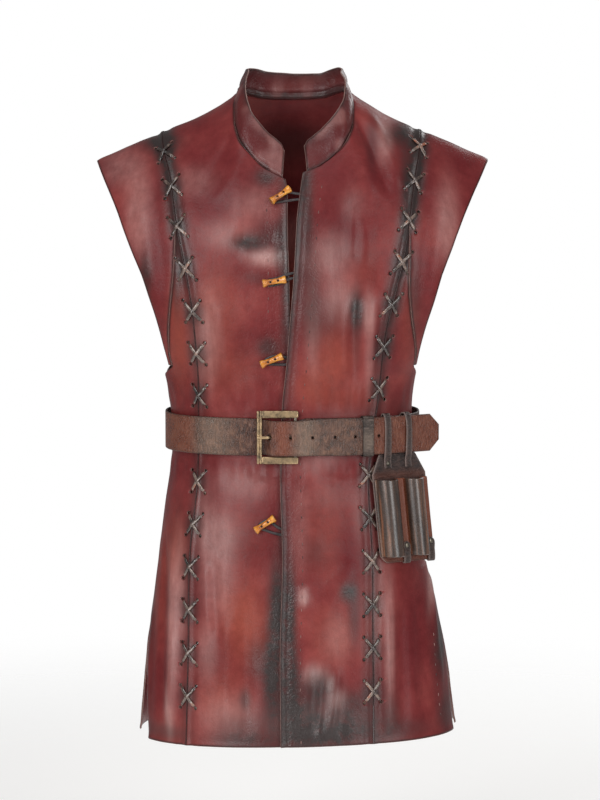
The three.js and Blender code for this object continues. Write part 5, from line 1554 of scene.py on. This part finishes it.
# %% Strap leathers
def strap_leather(name, dark, middle, light, edge, gloss=0.42):
    material, add, shader, place = new_material(name)
    lay = add("Attribute", give="Vector", attribute_name="lay")
    # Wrinkles 2.4 mm apart along the strap, and four times as long across it.
    drawn = add("Mapping", {"Vector": lay, "Scale": (1, 0.24, 0.3)})
    wrinkle = add("TexNoise", {
        "Vector": drawn, "Scale": 1 / 2.4, "Detail": 5.0, "Roughness": 0.6, "Distortion": 1.4})
    mottle = add("TexNoise", {"Vector": lay, "Scale": 1 / 14, "Detail": 6.0, "Roughness": 0.68})
    grit = add("TexNoise", {
        "Vector": place, "Scale": 1000 / 1.1, "Detail": 3.0, "Roughness": 0.7})
    tone = add("Mix", {0: 0.5, 2: wrinkle, 3: mottle})
    colour = add("ValToRGB", [tone], stops=(
        (0.38, dark), (0.49, middle), (0.62, light)))
    # pale: grey wear and painted sheen; rust: red-brown leather; edge: the cut edges' tint
    for key, tint, strength in (
            ("pale", "#96806f", 0.62), ("rust", "#7c3a20", 0.8), ("edge", edge, 0.85)):
        here = add("Attribute", give="Fac", attribute_name=key)
        breakup = add("MapRange", {
            "Value": grit, "From Min": 0.3, "From Max": 0.6, "To Min": 0.55})
        broken = add("Math", (here, breakup), operation="MULTIPLY")
        amount = add("Math", (broken, strength), operation="MULTIPLY", use_clamp=True)
        colour = add("Mix", {0: amount, 6: colour, 7: tint}, 2, data_type="RGBA")
    worn = add("MapRange", (mottle, 0.35, 0.65, gloss - 0.08, gloss + 0.16))
    normal = add("Bump", {"Height": grit, "Strength": 0.35, "Distance": 0.0003})
    normal = add("Bump", {
        "Height": wrinkle, "Strength": 0.9, "Distance": 0.002, "Normal": normal})
    feed(shader, {"Base Color": colour, "Roughness": worn, "Normal": normal})
    return material


BELT_LEATHER = strap_leather("cracked_belt_leather", "#1f110c", "#45261b", "#6f4c3a", "#120a08",
                             0.3)
KEEPER_LEATHER = strap_leather("worn_keeper_leather", "#1c1613", "#3a2e28", "#665850", "#140e0c")
# Its pale edge tint is partly rubbing and partly a painted highlight along the loops' edges.
LOOP_STRAP = strap_leather("dark_loop_leather", "#120c0b", "#281b18", "#443029", "#8a7771")
print("leathers:", BELT_LEATHER.name, KEEPER_LEATHER.name, LOOP_STRAP.name)

# %% [markdown]
# ## The belt
# One strap goes once round the waist. Its end is folded round the buckle's heel bar, and its
# tail passes under the outer bar, over the prong, through the keeper and off the body. The ring
# is drawn a little tighter than the CAD model's. The strip gets its colour here: a grey middle,
# worn and partly painted sheen, a rusty patch where the buckle has rubbed, and red-brown leather
# under the keeper and loops.

# %% The belt's run and its strap
BELT_RIGHT = 166.5
BELT_LEFT = 166
BELT_FRONT = 118.5
BELT_BACK = 114
BELT_MIDDLE = (BELT_TOP + BELT_BOTTOM) / 2
STRAP_THICK = 3.0
TAIL = table("x lift width sink", """
    -60 0 49 0, -46 0 47.5 0, -37 0.2 46.5 0, -33 2.2 46 0.4, -30 5.2 46 0.7, -26 8.6 46 1,
    -21 9.9 46 1.1, -14 10.2 46 1.1, 8 10.3 46 1, 16 8.5 46.4 0.7, 30 4.5 47.4 0.3, 44 3.3 48.4 0,
    56 3.3 49 0, 400 3.3 49 0
""")
TAIL_LEAVES = 120
TAIL_SLOPE = 0.62
TAIL_END = 192
TIP_CHAMFER = 14
HEEL_AT = 4
HEEL_LIFT = 5.2
COIL_RADIUS = 3.5
COIL_THICK = 2.2


def belt_ring(angle, lift):
    """A place over the belt's ring and its outward direction; angle 0 is in front."""
    def at(turn):
        across, ahead = np.sin(turn), np.cos(turn)
        width = np.where(across < 0, BELT_RIGHT, BELT_LEFT)
        depth = np.where(ahead > 0, BELT_FRONT, BELT_BACK)
        return np.stack([
            np.sign(across) * width * np.abs(across) ** (2 / ROUND),
            -np.sign(ahead) * depth * np.abs(ahead) ** (2 / ROUND),
            np.full_like(across, BELT_MIDDLE)], -1)
    angle = np.asarray(angle, float)
    run = at(angle + 0.01) - at(angle - 0.01)
    out = unit(np.stack([run[..., 1], -run[..., 0], 0 * angle], -1))
    return at(angle) + out * np.asarray(lift, float)[..., None], out


def ring_angle(x):
    width = np.where(np.asarray(x) < 0, BELT_RIGHT, BELT_LEFT)
    return np.sign(x) * np.arcsin((np.abs(x) / width) ** (ROUND / 2))


def belt_at(x, lift=0.0):
    return belt_ring(ring_angle(np.asarray(x, float)), lift)


def belt_line():
    """The strap's middle line: coil, once round, and the tail; with widths and thicknesses."""
    centre = belt_at(HEEL_AT, HEEL_LIFT)[0]
    turn = np.radians(np.linspace(-250, 80, 26))
    coil = centre + COIL_RADIUS * np.stack([np.sin(turn), np.cos(turn), 0 * turn], -1)
    start = ring_angle(17.0)
    stop = 2 * np.pi + ring_angle(-60.0)
    body = belt_ring(np.linspace(start, stop, 260), STRAP_THICK / 2)[0]
    across = np.linspace(-59, TAIL_LEAVES, 150)
    tail = belt_at(across, pick(TAIL, "x", "lift", across) + STRAP_THICK / 2)[0]
    ahead = unit(np.array([1, TAIL_SLOPE, 0]))
    reach = np.linspace(0, 1, 36)[1:] * (TAIL_END - tail[-1, 0]) / ahead[0]
    free = tail[-1] + reach[:, None] * ahead
    run = np.concatenate([coil, body, tail, free])
    on_tail = np.arange(len(run)) >= len(coil) + len(body)
    on_coil = np.arange(len(run)) < len(coil)
    left = (run[-1, 0] - run[:, 0]) / ahead[0]
    width = np.where(on_tail, pick(TAIL, "x", "width", run[:, 0]), 49.0)
    width = np.where(on_coil, 44.0, width)
    narrowed = width - 2 * np.clip(TIP_CHAMFER - left, 0, TIP_CHAMFER)
    width = np.where(on_tail & (run[:, 0] > TAIL_LEAVES), narrowed, width)
    thick = np.where(on_coil, COIL_THICK, STRAP_THICK - 0.2)
    return run, width, thick, on_tail


def lying(run):
    """Outward directions along a level line."""
    ahead = unit(np.gradient(run, axis=0))
    return np.stack([ahead[:, 1], -ahead[:, 0], 0 * ahead[:, 0]], -1)


run, strap_width, strap_thick, on_tail = belt_line()
x = run[:, 0]
in_front = run[:, 1] < 0
# Grey wear on the belt's face, where it also stands as painted sheen of the light.
pale = on_tail * (0.7 * hill(x, 16, 15) + 0.2 * hill(x, 60, 40))
pale += ~on_tail * in_front * 0.6 * hill(x, -104, 26)
rust = on_tail * (0.9 * hill(x, -12, 13) + smooth(x, 98, 106) * 0.6)
rust += ~on_tail * in_front * smooth(-x, 118, 138) * 0.75
sink = on_tail * pick(TAIL, "x", "sink", x)
belt = strip("belt_strap", run - UP * sink[:, None], UP, lying(run), strap_width, strap_thick,
             BELT_LEATHER, 16, pale=np.clip(pale, 0, 1), rust=np.clip(rust, 0, 1))
print("belt:", round(float(run_of(run)[-1])), "mm long")

# %% Holes in the strap
BELT_HOLES = np.array([-2, 26, 54.5, 80, 110])
hole_lift = pick(TAIL, "x", "lift", BELT_HOLES) + STRAP_THICK / 2
for across, lift, radius, depth in (
        (BELT_HOLES, hole_lift, 1.8, 7),
        # the slot that the prong comes up through
        ([-29.2], 7.2, 3.4, 8)):
    punch_out(belt, belt_at(across, lift), radius, depth, BELT_LEATHER)
print("belt faces:", len(belt.data.polygons))

# %% [markdown]
# ## Buckle and keeper
# The buckle is cast brass, open at its right end: an outer bar with a groove filed along it, a
# top bar and a bottom bar, and a heel bar for the strap. It is brushed bright, with brown tarnish
# in patches; the heel bar is made of the dark metal as painted shade, for the dark gap between the
# frame and the belt where it shows. The prong is bent wire that passes up through the strap and
# rests on the outer bar. The keeper is a band of worn leather that slides on both layers of the
# belt.

# %% Old brass
def old_brass(name, dull, bright):
    material, add, shader, place = new_material(name)
    # Brushing 0.9 mm wide drawn along the bars, and brown tarnish in patches of 9 mm.
    drawn = add("Mapping", {"Vector": place, "Scale": (0.1, 1, 1)})
    brush = add("TexNoise", {"Vector": drawn, "Scale": 1000 / 0.9, "Detail": 3.0})
    tarnish = add("TexNoise", {
        "Vector": place, "Scale": 1000 / 9, "Detail": 5.0, "Roughness": 0.65})
    amount = add("MapRange", {"Value": tarnish, "From Min": 0.36, "From Max": 0.6})
    colour = add("Mix", {0: amount, 6: dull, 7: bright}, 2, data_type="RGBA")
    shine = add("MapRange", (tarnish, 0.36, 0.6, 0.45, 0.3))
    normal = add("Bump", {"Height": brush, "Strength": 0.3, "Distance": 0.0002})
    feed(shader, {"Base Color": colour, "Metallic": 0.7, "Roughness": shine, "Normal": normal})
    return material


BRASS = old_brass("old_brass", "#5f5242", "#b79c78")
# Dark metal for the rivets, and for the heel bar as painted shade.
DARK_METAL = old_brass("dark_rivet_metal_and_heel_shade", "#3a3530", "#8d8577")
print("metals:", BRASS.name, DARK_METAL.name)

# %% The frame, the prong and the keeper
FRAME_BACK = -122.0
FRAME_THICK = 3.8
FRAME_RIM = 9.7
FRAME_LEFT = -46.0
FRAME_RIGHT = 8.0
BAR_ROOM = 0.6


def join(name, pieces):
    """Several closed shells as one object."""
    mesh = bpy.data.meshes.new(name)
    shape = bmesh.new()
    for piece in pieces:
        material = piece.data.materials[0]
        if material.name not in mesh.materials:
            mesh.materials.append(material)
        first = len(shape.faces)
        shape.from_mesh(piece.data)
        shape.faces.ensure_lookup_table()
        for face in shape.faces[first:]:
            face.material_index = mesh.materials.find(material.name)
        bpy.data.objects.remove(piece)
    shape.to_mesh(mesh)
    shape.free()
    return add_object(name, mesh)


def bar(start, end, across, width, thick, material, round_end):
    """A straight bar with rounded edges and ends, facing forward."""
    start, end = np.array(start, float), np.array(end, float)
    length = np.linalg.norm(end - start)
    at = np.concatenate([
        np.linspace(0, round_end, 6)[:-1], np.linspace(round_end, length - round_end, 12),
        np.linspace(length - round_end, length, 6)[1:]])
    into = np.clip(np.minimum(at, length - at) / round_end, 0, 1)
    swell = np.sqrt(1 - (1 - into) ** 2) * 0.97 + 0.03
    spine = start + (end - start) * (at / length)[:, None]
    return strip("bar", spine, across, AHEAD, width - 2 * round_end * (1 - swell),
                 thick * (0.35 + 0.65 * swell), material, 8)


top = BELT_TOP + BAR_ROOM + FRAME_RIM
foot = BELT_BOTTOM - BAR_ROOM - FRAME_RIM
frame_y = FRAME_BACK - FRAME_THICK / 2
heel = belt_at(HEEL_AT, HEEL_LIFT)[0]
BARS = [
    # x from and to, z from and to, y; width, thickness, metal and how far its ends are rounded
    *[(x, x, foot, top, frame_y, 3.4, FRAME_THICK + 0.8, BRASS, 1.6)
      for x in (FRAME_LEFT + 1.7, FRAME_LEFT + 5.2)],
    *[(FRAME_LEFT + 6, FRAME_RIGHT, z, z, frame_y, FRAME_RIM, FRAME_THICK, BRASS, 2.4)
      for z in (top - FRAME_RIM / 2, foot + FRAME_RIM / 2)],
    (FRAME_LEFT + 1, FRAME_LEFT + 6, BELT_MIDDLE, BELT_MIDDLE, frame_y, top - foot - 4,
     FRAME_THICK - 1.2, BRASS, 0.5),
    # the heel bar, in the dark metal: painted shade for the gap where it shows
    (heel[0], heel[0], foot + 4, top - 4, heel[1], 3.8, 3.8, DARK_METAL, 0.8),
]
buckle = join("buckle_frame", [
    bar((x, y, z), (end_x, y, end_z), ASIDE if x == end_x else UP, *rest)
    for x, end_x, z, end_z, y, *rest in BARS])

PRONG_LINE = [
    (-45.5, -127.3), (-40, -127.4), (-33, -127.2), (-29, -125.4), (-25, -122.6), (-20, -121.2),
    (-8, -121.0), (0, -121.0),
]
prong_run = bent_line([(a, b, BELT_MIDDLE) for a, b in PRONG_LINE], 0.8, 3)
prong_width = table("x width", "-46 2.2, -43.5 3.4, 0 3.8")
prong_bar = strip("prong_bar", prong_run, UP, lying(prong_run),
                  pick(prong_width, "x", "width", prong_run[:, 0]), 2.2, BRASS, 6)
prong_eye = turned("prong_eye", [(-2, 2.3), (-2, 4.2), (2, 4.2), (2, 2.3), (-2, 2.3)],
                   np.array([heel[0], heel[1], BELT_MIDDLE]), UP, ASIDE, BRASS, 20)
prong = join("buckle_prong", [prong_bar, prong_eye])

KEEPER_AT = 96
KEEPER_WIDTH = 15
KEEPER_THICK = 1.7


def band_line(inside, outside, low, high, corner):
    """A closed rounded loop round the belt as (lift, height), evenly stepped."""
    centre = np.array([(inside + outside) / 2, (low + high) / 2])
    half = np.array([(outside - inside) / 2, (high - low) / 2])
    corners = []
    for k, hands in enumerate([(1, 1), (-1, 1), (-1, -1), (1, -1)]):
        arc = np.radians(np.arange(90 * k, 90 * k + 91, 15))
        middle = centre + (half - corner) * hands
        corners.append(middle + corner * np.stack([np.cos(arc), np.sin(arc)], -1))
    loop = np.concatenate(corners + [corners[0][:1]])
    return even_line(np.column_stack([loop, 0 * loop[:, 0]]), 1.2)[0][:-1, :2]


def make_keeper():
    loop = band_line(-1.3, 7.9, BELT_BOTTOM - 1.2, BELT_TOP + 1.2, 1.8)
    seat, out = belt_at(KEEPER_AT)
    along = np.array([-out[1], out[0], 0])
    spine = seat * [1, 1, 0] + loop[:, :1] * out + loop[:, 1:] * UP
    run = np.roll(spine, -1, 0) - np.roll(spine, 1, 0)
    facing_out = unit(np.cross(along, run))
    if (facing_out * (spine - spine.mean(0))).sum() < 0:
        facing_out = -facing_out
    # The keeper's outer face is paler at its middle: painted sheen.
    front = hill(loop[:, 1], BELT_MIDDLE - 6, 12) * (loop[:, 0] > 5)
    return strip("belt_keeper", spine, along, facing_out, KEEPER_WIDTH, KEEPER_THICK,
                 KEEPER_LEATHER, 8, closed=True, pale=0.6 * front)


keeper = make_keeper()
print("fittings:", buckle.name, prong.name, keeper.name)

# %% [markdown]
# ## The carrier
# It hangs on the belt by two loops: a stiff leather plate, and over it one sheet of waxed
# leather moulded into two tubes for something slim, open at both ends. Two straps fold round the
# foot and are riveted through. The pieces are laid out flat, facing forward, and then hung: the
# carrier leans out over the hip and a little to the side, which is one shear of all its points.

# %% Carrier leathers
def moulded_leather():
    material, add, shader, place = new_material("moulded_tube_leather")
    lay = add("Attribute", give="Vector", attribute_name="lay")
    # Rubbed streaks down the tubes, 5 mm wide and many times as long.
    drawn = add("Mapping", {"Vector": lay, "Scale": (1, 0.07, 1)})
    streak = add("TexNoise", {"Vector": drawn, "Scale": 1 / 5.0, "Detail": 4.0, "Roughness": 0.6})
    pits = add("TexNoise", {
        "Vector": place, "Scale": 1000 / 2.2, "Detail": 4.0, "Roughness": 0.7})
    tone = add("ValToRGB", [streak], stops=(
        (0.34, "#1d1410"), (0.52, "#3c2a20"), (0.7, "#7a5038")))
    valley = add("Attribute", give="Fac", attribute_name="rust")
    colour = add("Mix", {0: valley, 6: tone, 7: "#6e351d"}, 2, data_type="RGBA")
    gloss = add("MapRange", (pits, 0.35, 0.65, 0.2, 0.34))
    normal = add("Bump", {"Height": pits, "Strength": 0.2, "Distance": 0.0004})
    normal = add("Bump", {
        "Height": streak, "Strength": 0.25, "Distance": 0.0006, "Normal": normal})
    feed(shader, {"Base Color": colour, "Roughness": gloss, "Coat Weight": 1.0,
                  "Coat Roughness": 0.33, "Normal": normal})
    return material


TUBE_LEATHER = moulded_leather()
PLATE_LEATHER = strap_leather("carrier_plate_leather", "#160f0e", "#2b1d1a", "#45302a", "#8b7a74",
                              0.5)
print("carrier leathers:", TUBE_LEATHER.name, PLATE_LEATHER.name)

# %% Plate, tubes, loops, straps and rivets
CARRIER_AT = 137.0
CARRIER_DEPTH = 3.3
CARRIER_TILT = 0.065
CARRIER_LEAN = 0.075
PLATE_BACK = 1.0
PLATE_FRONT = 3.5
PLATE_SHAPE = table("z half", """
    -606 31, -605.6 33.4, -603 36, -597 41, -592 41.5, -490 41.5, -464 28.2, -463.6 27
""")
SHELL_TOP = -496.0
SHELL_BOTTOM = -597.0
SHELL_THICK = 2.5
SHELL_DEPTH = 15.5
SHELL_FLANGE = 41.0
TUBES = [(-22.5, 15.5), (18.0, 14.5)]
LOOP_THICK = 1.6
CARRIER_LOOPS = [(-17.0, 11.0, 7.2, -4.4), (15.0, 10.0, 8.6, -9.5)]
LOOP_END = -482.0
CARRIER_STRAPS = [(-1.75, 10.6, -579.0), (36.6, 10.4, -576.0)]


def hang(piece):
    """Hangs a piece, drawn flat and facing forward, on its place on the belt."""
    mesh = piece.data
    a, b, z = read_all(mesh.vertices, "co", 3).T / MM
    drop = np.maximum(0, BELT_BOTTOM - z)
    a = a + drop * CARRIER_LEAN
    b = b - drop * CARRIER_TILT
    along = unit(np.array([1, TAIL_SLOPE, 0]))
    out = np.array([along[1], -along[0], 0])
    leaves = belt_at(TAIL_LEAVES, CARRIER_DEPTH)[0]
    seat = leaves + along * (CARRIER_AT - leaves[0]) / along[0] - out * CARRIER_DEPTH
    placed = seat * [1, 1, 0] + a[:, None] * along - b[:, None] * out
    placed[:, 2] = z
    mesh.vertices.foreach_set("co", (placed * MM).ravel())
    mesh.update()
    return piece


def upright(name, runs, at, width, material):
    """A strap bent in the plane of lift and height, across the carrier at one place."""
    line = bent_line([(lift, z, 0) for lift, z in runs], 1.0, 2)
    spine = np.column_stack([np.full(len(line), at), -line[:, 0], line[:, 1]])
    out = np.cross(ASIDE, unit(np.gradient(spine, axis=0)))
    return hang(strip(name, spine, ASIDE, out, width(run_of(spine)), LOOP_THICK, material, 8))


def make_plate():
    z = np.concatenate([np.linspace(-606, -590, 14), np.linspace(-588, -492, 40),
                        np.linspace(-490, -463.6, 20)])
    half = np.interp(z, PLATE_SHAPE["z"], PLATE_SHAPE["half"])
    spine = np.column_stack([0 * z, 0 * z - (PLATE_BACK + PLATE_FRONT) / 2, z])
    rust = 0.8 * hill(z, -601, 5) + 0.35 * hill(z, -492, 6)
    return hang(strip("carrier_plate", spine, ASIDE, AHEAD, 2 * half, PLATE_FRONT - PLATE_BACK,
                      PLATE_LEATHER, 16, rust=rust))


def make_tubes():
    foot = PLATE_FRONT + SEAM + SHELL_THICK / 2
    outline = [(-SHELL_FLANGE, foot)]
    for middle, radius in TUBES:
        turn = np.linspace(0, np.pi, 40)
        reach = radius - SHELL_THICK / 2
        outline += list(zip(middle - reach * np.cos(turn), foot + SHELL_DEPTH * np.sin(turn)))
    outline.append((SHELL_FLANGE, foot))
    line = even_line(np.array([(a, -lift, 0) for a, lift in outline]), 0.9)[0]
    line = np.column_stack([line[:, :2], np.full(len(line), (SHELL_TOP + SHELL_BOTTOM) / 2)])
    depth = -line[:, 1] - foot
    rust = (1 - smooth(depth, 0.5, 6)) * smooth(line[:, 0], -12, -6)
    return hang(strip("carrier_tubes", line, UP, lying(line), SHELL_TOP - SHELL_BOTTOM,
                      SHELL_THICK, TUBE_LEATHER, 40, rust=rust,
                      relief_of=lambda lay: 0.3 * lumps(lay, 26, 71)))


def make_loop(number, at, width, front, behind):
    top = BELT_TOP + 2.2
    below = BELT_BOTTOM - 1.0
    neck = below - 6
    half = LOOP_THICK / 2
    inner, outer = PLATE_BACK - SEAM - half, PLATE_FRONT + SEAM + half
    run = [(outer, LOOP_END), (outer, neck), (front + half, below), (front + half, top + half),
           (behind - half, top + half), (behind - half, below), (inner, neck), (inner, LOOP_END)]
    return upright(f"carrier_belt_loop_{number}", run, at,
                   lambda along: width * (0.94 + 0.06 * np.cos(along / 17)), LOOP_STRAP)


def make_strap(number, at, width, top):
    half = LOOP_THICK / 2
    front = PLATE_FRONT + 2 * SEAM + SHELL_THICK + half
    back = PLATE_BACK - SEAM - half
    under = PLATE_SHAPE["z"][0] - SEAM - half
    run = [(front, top), (front, under), (back, under), (back, top - 8)]

    def wide(along):
        into = np.clip(along / (width / 2 + 1), 0.06, 1)
        return (width + 2) * np.sqrt(1 - (1 - into) ** 2) - 2 * smooth(along, 8, 16)

    return upright(f"carrier_foot_strap_{number}", run, at, wide, LOOP_STRAP)


def make_rivet(number, at, z, face):
    dome = [(-1.2, 1.2), (0, 1.3), (0, 3.1), (0.5, 3.0), (1.1, 2.4), (1.5, 1.4), (1.65, 0.4)]
    return hang(turned(f"carrier_rivet_{number}", dome, np.array([at, -face, z]), AHEAD, ASIDE,
                       DARK_METAL, 20))


plate = make_plate()
tubes = make_tubes()
carrier_loops = [make_loop(k + 1, *rule) for k, rule in enumerate(CARRIER_LOOPS)]
carrier_straps = [make_strap(k + 1, *rule) for k, rule in enumerate(CARRIER_STRAPS)]
strap_face = PLATE_FRONT + 2 * SEAM + SHELL_THICK + LOOP_THICK
rivets = [
    make_rivet(1, -17.0, -476.0, PLATE_FRONT + SEAM + LOOP_THICK),
    make_rivet(2, -1.75, -584.0, strap_face),
    make_rivet(3, 36.6, -581.0, strap_face),
]
print("carrier:", 2 + len(carrier_loops) + len(carrier_straps) + len(rivets), "pieces")

# %% [markdown]
# ## Stitches
# The left front's edge is turned and held by a row of long stitches in waxed thread, the right
# front's by a shorter row, and a few more hold the left vent. Here each stitch lies on the
# leather. One node tree sets a small rounded stitch at even steps along a line as one mesh.

# %% A row of stitches as a node tree
def stitch_tree():
    add, given = new_tree("stitch_row", Pitch="Float", Length="Float", Thickness="Float",
                          Material="Material")
    line = add("MeshToCurve", {"Mesh": given["Geometry"]})
    steps = add("CurveToPoints", {"Curve": line, "Length": given["Pitch"]}, mode="LENGTH")
    thick = given["Thickness"]
    size = add("ShaderNodeCombineXYZ", (thick, thick, given["Length"]))
    bead = add("MeshUVSphere", {"Segments": 10, "Rings": 8, "Radius": 0.5})
    row = add("InstanceOnPoints", {
        "Points": steps, "Instance": bead, "Rotation": steps.node.outputs["Rotation"],
        "Scale": size})
    soft = add("SetShadeSmooth", {"Geometry": row})
    return close_tree(add, soft, given["Material"])


STITCH = stitch_tree()
THREAD = banded_leather(
    "waxed_linen_thread", 18, {"Detail": 3.0}, ((0.4, "#2a1a19"), (0.62, "#8a6660")), 0.4, None,
    strength=0.4, distance=0.0003)
print("tree and material:", STITCH.name, THREAD.name)

# %% The rows of stitches
STITCH_LENGTH = 4.2
STITCH_THICK = 1.0
STITCH_LIFT = 0.05


def row_on(node, spots):
    """A line laid over a finished panel, through places seen from the front."""
    line = even_line(np.array([(a, b, 0) for a, b in spots], float), 4.0)[0]
    points, outward = [], []
    for across, up, _ in line * MM:
        found, spot, normal, _ = panels[node][0].ray_cast((across, -0.5, up), (0, 1, 0))
        if found:
            points.append(np.array(spot) / MM + np.array(normal) * STITCH_LIFT)
            outward.append(normal)
    return np.array(points), np.array(outward)


def sew(name, node, spots, pitch):
    return apply_tree(guide(name, [row_on(node, spots)]), STITCH, Pitch=pitch * MM,
                      Length=STITCH_LENGTH * MM, Thickness=STITCH_THICK * MM, Material=THREAD)


EDGE_ROW = [(float(pick(FRONT_EDGES, "z", "over", z)) + 26.5, z) for z in range(-836, -92, 24)]
stitches = {
    "front_left": sew("left_front_stitches", "front_left", EDGE_ROW, 17.0),
    "front_right": sew("right_front_stitches", "front_right",
                       [(-33, -146), (-31.5, -190), (-30.5, -240), (-31, -276)], 15.0),
    "side_front_left": sew("left_vent_stitches", "side_front_left",
                           [(187, -708), (190, -760), (196, -813)], 13.0),
}
print("stitches:", {node: len(row.data.polygons) for node, row in stitches.items()})

# %% [markdown]
# ## What each piece is in the model
# Every piece stands for its CAD solid and rides on the one rigid body. The nine panels' cut
# sizes, measured flat on the form before the folds were added, are worked out again but not
# kept. The stitches go with their panels.


def hand_over(piece, node):
    """The piece stands for a CAD node: the node's solid is hidden and the piece rides on the root
    body.
    """
    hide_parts(node)
    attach(piece, "root")


for node, (piece, grid) in panels.items():
    hand_over(piece, node)
    width, length, area = cut_size(grid)
hand_over(collar, "collar")
for row in stitches.values():
    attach(row, "root")
for name, lace in laces.items():
    hand_over(lace, f"lace_{name}")
for k, parts in enumerate(fastenings, 1):
    for piece, node in zip(parts, ("toggle", "toggle_tie", "loop")):
        hand_over(piece, f"{node}_{k}")
REST = {
    "belt_leather": {"belt_strap": belt, "belt_keeper": keeper},
    "old_brass": {"buckle_frame": buckle, "buckle_prong": prong},
    "carrier_leather": {"carrier_back": plate, "carrier_front": tubes},
}
for slot, pieces in REST.items():
    for node, piece in pieces.items():
        hand_over(piece, node)
for node, slot, pieces in (
        ("carrier_loop", "belt_leather", carrier_loops),
        ("carrier_strap", "belt_leather", carrier_straps),
        ("carrier_rivet", "old_brass", rivets)):
    for k, piece in enumerate(pieces, 1):
        hand_over(piece, f"{node}_{k}")
